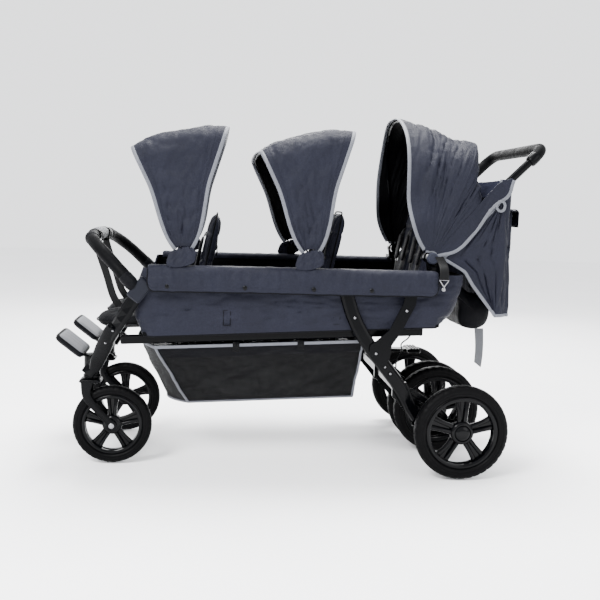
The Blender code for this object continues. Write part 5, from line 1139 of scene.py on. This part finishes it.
def make_cushion(row, materials):
    """One bench cushion, filled by the cloth solver, then sewn: seams, two channels and edge piping."""
    half, depth, rear, first = CUSHION_HALF[row], CUSHION_DEPTH[row], ROW_X[row] - 0.024, row == 0
    look = materials["pad_black"] if first else materials["cloth_dark"]

    def outline(u, v):
        y = half * u * (1 - 0.03 * (1 - v * v)) * (1 - 0.05 * np.abs(v) ** 8)
        x = rear - depth * (1 - v) / 2 * (1 - 0.03 * (1 - u * u)) + 0.010 * np.abs(u) ** 10 * -v
        if first:
            front = np.clip(-v, 0, None) ** 2
            y = y * (1 - 0.14 * front)
            x = x + front * (0.085 * groove(u, 0.24) + 0.045 * np.abs(u) ** 6 - 0.022)
        return x, y

    def shape(u, v, face):
        x, y = outline(u, v)
        cap = dome(u, v, 6, 6)
        height = CUSHION_T * ((0.45 if first else 0.42) + (0.52 if face > 0 else -0.40) * cap)
        if first:
            height = height + 0.008 * np.clip(-v, 0, None) ** 2 * face * cap
        return x, y, floor_z(x) + 0.0115 + height

    cushion = build(f"row_{row + 1}_bench_cushion", [pillow(shape, 90, 44)], look)
    puff(cushion, 0.006)
    subdivide(cushion)
    p = read_points(cushion.data).astype(float)
    v = 1 - 2 * (rear - p[:, 0]) / depth
    upper = np.clip((p[:, 2] - floor_z(p[:, 0]) - 0.018) / 0.012, 0, 1)
    seam = 0.0100 * groove(p[:, 1], 0.010) + 0.0045 * groove(np.abs(p[:, 1]) - 0.5 * half, 0.006)
    for line in (-0.36, 0.36):
        seam += 0.0050 * groove((v - line) * depth / 2, 0.0065)
    ruffle = 0.0012 * creases(p[:, 0] * 7, p[:, 1] * 7, 70 + row)
    p[:, 2] -= (seam - ruffle) * upper
    p[:, 2] = np.maximum(p[:, 2], floor_z(p[:, 0]) + 0.0113)
    cushion.data.vertices.foreach_set("co", p.astype(np.float32).ravel())
    cushion.data.materials.clear()
    cushion.data.materials.append(look)
    finish_piece(cushion, "chassis", "cloth_dark", f"seat_cushion_row_{row + 1}")
    x, y = outline(*square_rim(200, 0.25))
    line = grid_of(x, y, floor_z(x) + 0.0115 + CUSHION_T * 0.46)
    piping = sweep(line, oval(SEAT_PIPING_R, SEAT_PIPING_R, 8), (0, 0, 1), closed=True)
    make(f"row_{row + 1}_cushion_piping", [piping], materials["lining"], "chassis", "cloth_dark")


def back_frame(row, sign):
    """Corner and axes of one backrest: across, up along the lean, and out of its front."""
    lean, x = math.radians(BACK_LEAN), ROW_X[row]
    foot = np.array([x, sign * BACK_Y, floor_z(x) + 0.011 + 0.0006 + 0.012])
    up, out = (math.cos(lean), 0.0, math.sin(lean)), (-math.sin(lean), 0.0, math.cos(lean))
    return foot, np.array([(0.0, 1.0, 0.0), up, out]).T


def harness_forms():
    """Shoulder straps with pads, lap straps and a buckle, in a backrest's own axes."""
    lift = BACK_T / 2 + 0.006
    shoulder = np.array([
        (0.052, 0.262, lift - 0.006), (0.052, 0.245, lift + 0.003), (0.046, 0.17, lift + 0.002),
        (0.030, 0.10, lift + 0.001), (0.012, 0.066, lift + 0.004),
    ])
    pad = np.array([
        (0.052, 0.240, lift + 0.0045), (0.049, 0.195, lift + 0.004), (0.044, 0.150, lift + 0.0035),
    ])
    lap = np.array([
        (0.018, 0.052, lift + 0.004), (0.050, 0.040, lift + 0.001), (0.082, 0.022, lift - 0.006),
        (0.096, 0.010, 0.004),
    ])
    belt, padding = oval(0.0115, 0.0009, 10, 4), oval(0.0205, 0.0048, 18, 3)
    forms = []
    for edge in SIDES.values():
        flip = (edge, 1, 1)
        forms.append(sweep(curve(shoulder * flip, 40), belt, (0, 0, 1)))
        forms.append(sweep(curve(pad * flip, 26), padding, (0, 0, 1), domed(26, 0.12, 0.55), slot=1))
        forms.append(sweep(curve(lap * flip, 24), belt, (0, 0.35, 1)))

    def buckle(u, v, face):
        dish = 0.0022 * np.exp(-((u / 0.45) ** 2 + (v / 0.45) ** 2)) * (face > 0)
        height = lift + 0.006 + 0.0062 * face * dome(u, v, 5, 5) - dish
        return 0.021 * u * (1 - 0.08 * v), 0.055 + 0.019 * v, height

    return forms + [pillow(buckle, 22, 22, slot=2)]


def make_backrests(materials):
    """Six padded backrests: one filled by the cloth solver and sewn, then set in its six places."""
    def shape(u, v, face):
        along = BACK_LEN * (v + 1) / 2 * 0.985 + 0.002 - 0.010 * np.abs(u) ** 6 * np.clip(v, 0, None) ** 3
        shoulder = 1 - 0.13 * np.clip(v, 0, None) ** 6
        width = BACK_W / 2 * 0.965 * u * (1 - 0.03 * (1 - v * v)) * shoulder
        taper = 0.62 + 0.38 * np.clip((v + 1) / 0.5, 0, 1)
        return width, along, BACK_T / 2 * 0.80 * dome(u, v, 6, 8) * face * taper

    dark = materials["cloth_dark"]
    pattern = build("backrest_pattern", [pillow(shape, 50, 70)], dark)
    puff(pattern, 0.005)
    subdivide(pattern)
    p = read_points(pattern.data).astype(float)
    front = np.clip(p[:, 2] / 0.006, -1, 1)
    seam = sum(0.0050 * groove(p[:, 1] - at, 0.006) for at in (0.100, 0.184, 0.265))
    seam += 0.0035 * groove(np.abs(p[:, 0]) - 0.072, 0.005) * (p[:, 1] > 0.02)
    ruffle = 0.0010 * creases(p[:, 0] * 9, p[:, 1] * 7, 77)
    p[:, 2] -= front * (seam * np.where(front > 0, 1.0, 0.4) - ruffle)
    faces = np.array([tuple(face.vertices) for face in pattern.data.polygons])
    x, y, _ = shape(*square_rim(180, 0.22), 1.0)
    rim = grid_of(x * 1.03, y, 0.0)
    bead = sweep(rim, oval(SEAT_PIPING_R, SEAT_PIPING_R, 8), (0, 0, 1), closed=True)
    hinge = grid_of(np.linspace(-0.096, 0.096, 30), 0.0, 0.0)
    roll = sweep(hinge, oval(0.0117, 0.0117, 20), (0, 0, 1), scale=domed(30, 0.05, 0.6))
    belts = harness_forms()
    belt_looks = materials["webbing"], materials["pad_black"], materials["moulded_black"]
    for row in range(3):
        for side, sign in SIDES.items():
            foot, axes = back_frame(row, sign)
            name, body = f"row_{row + 1}_{side}", f"row_{row + 1}_{side}_seat_back"
            forms = [moved((p, [(faces, 0)]), axes, foot), moved(roll, axes, foot)]
            pad = make(f"{name}_back_pad", forms, dark, body, "cloth_dark", f"{name}_backrest", angle=80.0)
            trim = [moved(bead, axes, foot)]
            make(f"{name}_back_piping", trim, materials["lining"], body, "cloth_dark")
            forms = [moved(form, axes, foot) for form in belts]
            make(f"{name}_harness", forms, belt_looks, body, "cloth_dark")
    bpy.data.objects.remove(pattern)


# Front of the stroller
def bumper_path():
    """Centre line of the bumper bar, from the left collar to the right one."""
    out, _ = leaning(COLLAR_TILT)
    low = np.array([COLLAR_X, -COLLAR_Y, COLLAR_Z]) + out * 0.0231
    half = np.array([
        low, low + out * 0.012, (-0.560, -0.315, 0.628), (-0.604, -0.272, 0.667),
        (-0.630, -0.210, 0.687), (-0.636, -0.137, 0.693), (-0.638, 0.0, 0.696),
    ])
    return curve(np.concatenate([half, half[-2::-1] * (1, -1, 1)]), 140)


def make_bumper(materials):
    """Padded bumper bar with its grey middle, cuffs round the padding and steel pins in its ends."""
    path = bumper_path()
    u, arc = np.linspace(0, 1, len(path)), np.abs(path[:, 1])
    swell = 1 + 0.02 * creases(u * 9, u, 4) - 0.10 * groove(arc - 0.118, 0.006)
    forms = [sweep(path, oval(0.0187, 0.0187, 28), scale=swell * domed(len(path), 0.015, 0.75))]
    ripple = 1 + 0.012 * creases(np.linspace(0, 4, 44), 0, 9)
    middle = resample(path[arc < 0.098], 44)
    forms.append(sweep(middle, oval(0.0196, 0.0196, 28), scale=domed(44, 0.06, 0.9) * ripple, slot=1))
    out, _ = leaning(COLLAR_TILT)
    for sign in SIDES.values():
        for at in (0.112, 0.205):
            k = int(np.argmin(np.abs(path[:, 1] - sign * at)))
            cuff = resample(path[k - 2:k + 3], 9)
            forms.append(sweep(cuff, oval(0.0204, 0.0204, 28), scale=domed(9, 0.3, 0.9), slot=2))
        end = resample(path[:7] if sign < 0 else path[-7:], 14)
        forms.append(sweep(end, oval(0.0202, 0.0202, 28), scale=domed(14, 0.2, 0.93), slot=2))
        tip = np.array([COLLAR_X, sign * COLLAR_Y, COLLAR_Z])
        pin = tip + out * (0.0225 - 0.024 + 0.004 * np.arange(9))[:, None]
        forms.append(sweep(pin, oval(0.0069, 0.0069, 14), slot=3))
    looks = tuple(materials[name] for name in ("foam_black", "strap_grey", "pad_black", "bright_steel"))
    bar = make("padded_bumper", forms, looks, "bumper", "foam_black", "bumper_bar")


def make_crotch_straps(materials):
    """Two crotch straps from the bumper to the first seat, each with its loop round the bumper."""
    a = circle(40)
    around = grid_of(np.cos(a), 0.0, np.sin(a))
    for side, sign in SIDES.items():
        y = sign * 0.112
        knots = [
            (-0.632, y, 0.678), (-0.622, y, 0.640), (-0.600, y, 0.575), (-0.580, y * 1.02, 0.510),
            (-0.560, y * 1.05, 0.476),
        ]
        form = sweep(curve(knots, 40), oval(0.0125, 0.0011, 12, 4), (0.35, 1, 0))
        strap = build(f"{side}_crotch_strap", [form], materials["webbing"])
        bend_between(strap, "bumper", "chassis", (-0.632, y, 0.670), (-0.566, y, 0.490), "cloth_dark")
        loop = np.array([-0.632, y, 0.690]) + around * 0.0215
        wrap = sweep(loop, oval(0.0140, 0.0012, 10, 4), around, closed=True)
        make(f"{side}_strap_loop", [wrap], materials["webbing"], "bumper", "cloth_dark")


def make_footrests(materials):
    """Quilted padded footrests, each on a moulded arm with an eye round the carrier tube."""
    out, up = leaning(FOOTREST_TILT)
    looks = materials["cloth_grey"], materials["pad_black"], materials["moulded_black"]
    eye = [
        (0.0130, -0.020), (0.0188, -0.020), (0.0195, -0.017), (0.0195, 0.017), (0.0188, 0.020),
        (0.0130, 0.020),
    ]
    for side, sign in SIDES.items():
        base = np.array([CASTER_X, sign * FOOTREST_Y, CARRIER_Z]) + out * FOOTREST_REACH + up * 0.004

        def board(u, v, face, lift=0.0, grow=1.0):
            narrow = 1 - 0.06 * np.clip(v, 0, None) ** 6
            width = FOOTREST_W / 2 * (1 - 0.05 * (1 - v * v)) * u * grow * narrow
            along = FOOTREST_LEN * (v * grow + 1) / 2
            cap = dome(u, v, 6, 6)
            thick = FOOTREST_T * (0.34 + (0.62 * cap if face > 0 else -0.50 * cap))
            quilt = 0.0016 * (groove(np.abs(u) - 0.42, 0.05) + groove(u, 0.05)) * (face > 0)
            where = base + out * along[..., None] + up * (thick + lift - quilt)[..., None]
            return np.moveaxis(where + np.array([0, 1, 0]) * width[..., None], -1, 0)

        top = pillow(lambda u, v, face: board(u, v, face, 0.0006, 0.945), 60, 44)
        under = pillow(lambda u, v, face: board(u, v, face, -0.0022, 0.985), 36, 30, slot=1)
        u, v = square_rim(160, 0.28)
        line = board(u * 0.965, v * 0.955, 1.0).T
        line = line - up * ((line - base) @ up - FOOTREST_T * 0.42)[:, None]
        edge = sweep(line, oval(0.0052, 0.0066, 14, 2.6), up, closed=True, slot=1)
        hinge = np.array([CASTER_X, sign * (FRONT_Y - HOUSING_R - 0.004 - 0.020), CARRIER_Z])
        arm = hinge + out * np.linspace(0.017, 0.062, 8)[:, None] + up * 0.001
        forms = [top, under, edge, lathe(eye, hinge, 32, slot=2, ring=True)]
        forms.append(sweep(arm, oval(0.0195, 0.0042, 16, 4), up, slot=2))
        body = f"{side}_foot_board"
        rest = make(f"{side}_padded_footrest", forms, looks, body, "cloth_grey", f"{side}_footrest")


def make_leg_shrouds(materials):
    """Moulded shrouds over the front legs, and a lock lever, cap and collar on each caster housing."""
    stops, widths = (0, 0.12, 0.5, 0.85, 1), (0.014, 0.021, 0.024, 0.021, 0.016)
    wide = np.interp(np.linspace(0, 1, 30), stops, widths)[:, None]
    section = ovals(wide, 0 * wide + 0.0135, 20, 3.2)
    leg = [(-0.557, 0.310, 0.440), (-0.577, 0.282, 0.392), (-0.604, 0.246, 0.335), (-0.618, 0.233, 0.298)]
    lever = [(-0.612, 0.190, 0.3385), (-0.596, 0.188, 0.345), (-0.574, 0.186, 0.341), (-0.562, 0.185, 0.330)]
    cap = [
        (0.0, 0.3318), (0.0215, 0.3318), (0.0232, 0.334), (0.0218, 0.3375), (0.010, 0.3395),
        (0.0, 0.3398),
    ]
    collar = [
        (0.0245, 0.2662), (0.0262, 0.2680), (0.0262, 0.2735), (0.0246, 0.2755), (0.0236, 0.2755),
        (0.0236, 0.2662),
    ]
    forms = []
    for sign in SIDES.values():
        forms.append(sweep(side_curve(leg, sign, 30), section, (0.25, sign, 0.55)))
        bar, scale = oval(0.0085, 0.0040, 12, 3), domed(16, 0.3, 0.5)
        forms.append(sweep(side_curve(lever, sign, 16), bar, (0, 0, 1), scale=scale))
        housing = (CASTER_X, sign * FRONT_Y, 0)
        forms += [lathe(cap, housing, 36, "z"), lathe(collar, housing, 36, "z", ring=True)]
    make("front_leg_shrouds_and_levers", forms, materials["moulded_black"], "chassis", "moulded_black")


# Rear and side fittings
def button_head(place, outward_axis, radius=0.0042):
    """Domed bolt head with a socket, standing on a surface that faces outward_axis."""
    profile = [
        (0.0, -0.002), (radius, -0.002), (radius, 0.0006), (radius * 0.85, 0.0018),
        (radius * 0.5, 0.0026), (radius * 0.42, 0.0026), (radius * 0.40, 0.0012), (0.0, 0.0012),
    ]
    z = unit(np.asarray(outward_axis, float))
    x = unit(np.cross(z, (0.3, 0.1, 1.0)))
    turn = np.stack([x, z, np.cross(x, z)], -1)
    return moved(lathe(profile, (0, 0, 0), 24), turn, place)


def make_bolts(materials):
    """Bolt heads on the frame, caps on the lower rails' ends and the hood's hinge knobs."""
    bolts, caps, knobs = [], [], []
    dial = [
        (0.0, 0.2946), (0.0165, 0.2946), (0.0178, 0.2965), (0.0178, 0.3010), (0.0160, 0.3035),
        (0.0125, 0.3042), (0.0115, 0.3025), (0.0, 0.3022),
    ]
    x = 0.3545
    for sign in SIDES.values():
        face, slope = (0, sign, 0), (0.25, sign, 0.55)
        bolts += [
            button_head((0.144, sign * 0.3553, 0.483), face),
            button_head((0.296, sign * 0.3613, 0.507), face),
            button_head((0.210, sign * 0.3613, 0.379), face),
            button_head((0.2395, sign * 0.3525, 0.338), face, 0.0034),
            button_head((0.2575, sign * 0.3495, 0.317), face, 0.0034),
            button_head((-0.5555, sign * 0.3165, 0.4285), slope),
            button_head((-0.5790, sign * 0.2930, 0.3880), slope, 0.0036),
        ]
        line = grid_of(x - 0.006 + 0.0022 * np.arange(6), sign * 0.300, floor_z(x) - 0.0133)
        caps.append(sweep(line, oval(0.0112, 0.0142, 20, 6), (0, 0, 1), scale=domed(6, 0.5, 0.8)))
        knobs.append(stud(dial, (PIVOT_X, 0, PIVOT_Z), sign, 40))
    make("frame_bolts", bolts, materials["bright_steel"], "chassis", "bright_steel")
    make("lower_rail_caps", caps, materials["moulded_black"], "chassis", "moulded_black")
    make("hood_hinge_knobs", knobs, materials["knob_grey"], "chassis", "collar_grey")


def make_tie_webbing(materials):
    """Webbing that ties the hood down at each side, with its fold, ring, hook and stud."""
    tape = [
        (0.4005, 0.304, 0.664), (0.4000, 0.330, 0.655), (0.3995, 0.360, 0.642), (0.3990, 0.3755, 0.626),
        (TIE_X, 0.3780, 0.604),
    ]
    hook = [(TIE_X, 0.3785, 0.585), (0.3995, 0.3790, 0.578), (TIE_X, 0.3765, 0.572)]
    ring = resample([(-0.0145, 0.602), (0.0145, 0.602), (0.0, 0.581), (-0.0145, 0.602)], 61)[:-1]
    ring = sum(np.roll(ring, step, 0) for step in (0, 1, -1, 2, -2)) / 5
    straps, rings = [], []
    for sign in SIDES.values():
        out = (0, sign, 0)
        straps.append(sweep(side_curve(tape, sign, 30), oval(0.0135, 0.0011, 12, 4), (0, sign, 0.35)))
        fold = grid_of(TIE_X + 0.0135 * np.linspace(-1, 1, 12), sign * 0.3780, 0.6035)
        straps.append(sweep(fold, oval(0.0026, 0.0030, 12), out))
        line = grid_of(TIE_X + ring[:, 0], sign * 0.3785, ring[:, 1])
        rings.append(sweep(line, oval(0.0016, 0.0016, 8), out, closed=True))
        rings.append(button_head((TIE_X, sign * 0.3760, 0.5740), out, 0.0058))
        rings.append(sweep(side_curve(hook, sign, 10), oval(0.0022, 0.0016, 8), out))
    make("hood_tie_webbing", straps, materials["webbing"], "chassis", "cloth_dark")
    make("hood_tie_rings", rings, materials["bright_steel"], "chassis", "bright_steel")


def make_pouch(materials):
    """Wrinkled roll pouch slung behind the last row, and the grey strap that hangs below it."""
    outline = [
        (0.452, 0.590), (0.470, 0.5975), (0.500, 0.580), (0.5430, 0.545), (0.585, 0.533), (0.609, 0.508),
        (0.613, 0.474), (0.601, 0.442), (0.569, 0.4275), (0.529, 0.434), (0.512, 0.462), (0.512, 0.500),
        (0.500, 0.535), (0.468, 0.566),
    ]
    (x, z), half = (0.560, 0.487), 0.166
    far = curve(outline + outline[:1], 97)[:-1] - (x, z)
    y = np.linspace(-half, half, 70)[:, None]
    end = np.sqrt(np.clip(1 - (np.clip(np.abs(y) / half - 0.86, 0, None) / 0.14) ** 2, 0.02, 1))
    wrinkle = 1 + 0.030 * creases(y * 9, np.linspace(0, 1, 96)[None], 90)
    roll = grid_of(x + far[:, 0] * end * wrinkle, y, z + far[:, 1] * end * wrinkle)
    forms = [tube(roll, [(x, -0.167, z), (x, 0.167, z)])]
    black = materials["pad_black"]
    pouch = make("slung_roll_pouch", forms, black, "chassis", "cloth_dark", "rear_pouch", angle=60.0)

    v, w = np.linspace(0, 1, 40)[:, None], np.linspace(-1, 1, 9)[None]
    x = 0.582 + 0.006 * np.sin(3 * v) + 0.0145 * w * np.cos(0.35 * v)
    y = -0.150 + 0.0145 * w * np.sin(0.5 * v) + 0.005 * np.sin(4 * v)
    grid = grid_of(x, y, 0.430 - 0.118 * v - 0.010 * v * w)
    forms, grey = [shell(grid, 0.0016)], materials["strap_grey"]
    tail = make("grey_hanging_strap", forms, grey, "chassis", "cloth_grey")


def make_cable(materials):
    """Brake cable from the lower rail to the pedal, and the ribs on the plates that hold the axle."""
    drop = [
        (0.330, -0.292, 0.436), (0.318, -0.300, 0.418), (0.300, -0.290, 0.398), (0.306, -0.270, 0.372),
        (0.296, -0.250, 0.340), (0.298, -0.240, 0.292), (0.298, -0.240, 0.278),
    ]
    along = [
        (0.298, -0.240, 0.279), (0.302, -0.16, 0.281), (0.302, 0.0, 0.281), (0.306, 0.09, 0.288),
        (0.322, 0.118, 0.300),
    ]
    runs = (drop, 50), (along, 40)
    wires = [sweep(curve(knots, count), oval(CABLE_R, CABLE_R, 10)) for knots, count in runs]
    make("brake_cable", wires, materials["moulded_black"], "chassis", "moulded_black")

    forms = []
    for y in (-0.296, 0.0, 0.296):
        strut = curve([(0.325, y, 0.258), (0.385, y, 0.222), (0.450, y, 0.172)], 20)
        forms.append(sweep(strut, oval(0.0105, 0.0072, 16, 3), (0, 1, 0), scale=domed(20, 0.1, 0.6)))
    boss = [(0.0, -0.006), (0.006, -0.006), (0.0065, 0.006), (0.0, 0.006)]
    forms.append(lathe(boss, (0.430, 0.0, 0.18), 16))
    make("axle_plate_ribs", forms, materials["moulded_black"], "chassis", "moulded_black")


def make_zip_pulls(materials):
    """Zip pull on the back of each backrest of the first row."""
    for side, sign in SIDES.items():
        foot, axes = back_frame(0, sign)
        knots = [
            (0.060 * sign, 0.245, -0.0165), (0.062 * sign, 0.236, -0.0225), (0.061 * sign, 0.222, -0.024),
        ]

        def grip(u, v, face):
            return 0.061 * sign + 0.0042 * u, 0.214 + 0.010 * v, -0.0245 + 0.0022 * face * dome(u, v, 4, 4)

        forms = [sweep(curve(knots, 14), oval(0.0024, 0.0010, 8), (0, 0, 1)), pillow(grip, 12, 14)]
        forms = [moved(form, axes, foot) for form in forms]
        body, black = f"row_1_{side}_seat_back", materials["moulded_black"]
        make(f"row_1_{side}_zip_pull", forms, black, body, "moulded_black")


def make_grip(materials):
    """Foam grip round the handle's loop, with a moulded collar at each end."""
    line = hoop(HANDLE_LEN, HANDLE_Y, 0.050, 0.0, 0.30, 400)
    world = hoop_row(line, HANDLE_ANGLE, PIVOT_X, PIVOT_Z, 0.0, 1.0)
    first = np.arange(len(line)) < len(line) // 2
    path = resample(world[line[:, 0] > np.where(first, 0.352, 0.422)], 150)
    ripple = 1 + 0.010 * np.sin(np.linspace(0, 1, 150) * 9)
    forms = [sweep(path, oval(0.0176, 0.0176, 32), scale=domed(150, 0.012, 0.86) * ripple)]
    for end in (path[:8], path[-8:]):
        forms.append(sweep(resample(end, 12), oval(0.0182, 0.0182, 32), scale=domed(12, 0.25, 0.9), slot=1))
    looks = materials["foam_black"], materials["moulded_black"]
    grip = make("foam_handle_grip", forms, looks, "push_handle", "foam_black", "handle_grip")


# Basket
def basket_ring(share):
    """Loop round the basket at this share of its depth, its front side bulging forward."""
    front = -0.435 + (-0.342 + 0.435) * share
    rear = 0.176 + (0.183 - 0.176) * share
    half = 0.310 + (0.125 - 0.310) * share**1.15
    y = np.linspace(-half, half, 36)
    x = np.linspace(front, rear, 60)[1:-1]
    ring = np.concatenate([
        np.stack([front - 0.070 * (1 - (y / half) ** 2), y], -1), np.stack([x, 0 * x + half], -1),
        np.stack([0 * y + rear, y[::-1]], -1), np.stack([x[::-1], 0 * x - half], -1),
    ])
    return np.c_[ring, floor_z(ring[:, 0]) - BASKET_HANG - BASKET_DEPTH * share]


def basket_walls(low, high, rows, seed, amount):
    """Creased side of the basket between two shares of its depth, and its outward normals."""
    depth = np.linspace(low, high, rows)
    grid = np.array([basket_ring(share) for share in depth])
    out = facing(grid, BASKET_CORE, True)
    t, depth = np.linspace(0, 1, grid.shape[1])[None], depth[:, None]
    fold = creases(t * 9, depth * 1.5, seed) * edge_fade((depth - low) / (high - low) + 0 * t, 0.25)
    return grid + out * (amount * fold)[..., None], out


def make_basket(materials):
    """Shopping basket: a wrinkled solid band above, see-through net below, grey bindings and tabs."""
    band_grid, band_out = basket_walls(0.0, 0.17, 14, 101, 0.0022)
    net_grid, net_out = basket_walls(0.165, 1.0, 50, 102, 0.0030)
    strip = [shell(band_grid, CLOTH, loop=True, core=BASKET_CORE)]
    make("basket_band", strip, materials["pad_black"], "chassis", "mesh_black", "basket", angle=70.0)
    u, v = lattice(np.linspace(0, 1, 50), np.linspace(-1, 1, 24))
    x = -0.342 + 0.525 * u - 0.070 * (1 - v**2) * (1 - u) ** 3
    sag = 0.003 * creases(u * 3, v, 7) * edge_fade(u, 0.1) * (1 - v**4)
    bottom = grid_of(x, 0.125 * v, floor_z(x) - BASKET_HANG - BASKET_DEPTH + sag)
    forms = [shell(net_grid, 0.0012, loop=True, core=BASKET_CORE), shell(bottom, 0.0014)]
    make("basket_net", forms, materials["mesh_black"], "chassis", "mesh_black", "basket", angle=70.0)

    up = (0, 0, 1)
    forms = [
        sweep(band_grid[0], oval(0.0032, 0.0046, 12, 2.6), up, closed=True),
        sweep(net_grid[-1], oval(0.0036, 0.0044, 12, 2.6), up, closed=True),
    ]
    for corner in (0, 35, 94, 129):
        line = np.concatenate([band_grid[:, corner], net_grid[3:, corner]])
        out = np.concatenate([band_out[:, corner], net_out[3:, corner]])
        forms.append(sweep(resample(line, 40), oval(0.0046, 0.0030, 12, 2.6), resample(out, 40)))
    make("basket_binding", forms, materials["binding"], "chassis", "cloth_grey")

    profile = [(0.0, -0.001), (0.0042, -0.001), (0.0042, 0.0008), (0.0024, 0.0018), (0.0, 0.0020)]
    tabs = []
    for sign in SIDES.values():
        for x in (-0.199, -0.008):
            z = floor_z(x) - BASKET_HANG
            knots = [
                (x, 0.3095, z + 0.011), (x, 0.3135, z + 0.004), (x, 0.3125, z - 0.010),
                (x, 0.3060, z - 0.020),
            ]
            tabs.append(sweep(side_curve(knots, sign, 16), oval(0.0100, 0.0012, 10, 4), (0, sign, 0.2)))
            tabs.append(stud(profile, (x, sign * 0.3150, z - 0.001), sign, 20))
    make("basket_hanging_tabs", tabs, materials["moulded_black"], "chassis", "moulded_black")


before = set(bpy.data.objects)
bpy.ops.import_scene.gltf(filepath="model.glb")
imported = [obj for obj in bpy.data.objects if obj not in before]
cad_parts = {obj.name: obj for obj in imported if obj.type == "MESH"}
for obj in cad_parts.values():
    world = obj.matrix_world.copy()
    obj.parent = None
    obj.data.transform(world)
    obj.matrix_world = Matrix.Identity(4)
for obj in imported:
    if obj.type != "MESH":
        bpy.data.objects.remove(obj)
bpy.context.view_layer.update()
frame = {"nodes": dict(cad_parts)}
materials = make_materials()
dress_cad(frame, materials)
make_studio()
make_wheels(materials)
make_forks(materials)
make_hood(materials)
make_cape(materials)
make_panel(materials)
make_bag(materials)
make_canopies(materials)
make_tub(materials)
for row in range(3):
    make_cushion(row, materials)
make_backrests(materials)
make_bumper(materials)
make_crotch_straps(materials)
make_footrests(materials)
make_leg_shrouds(materials)
make_grip(materials)
make_bolts(materials)
make_tie_webbing(materials)
make_pouch(materials)
make_cable(materials)
make_zip_pulls(materials)
make_basket(materials)
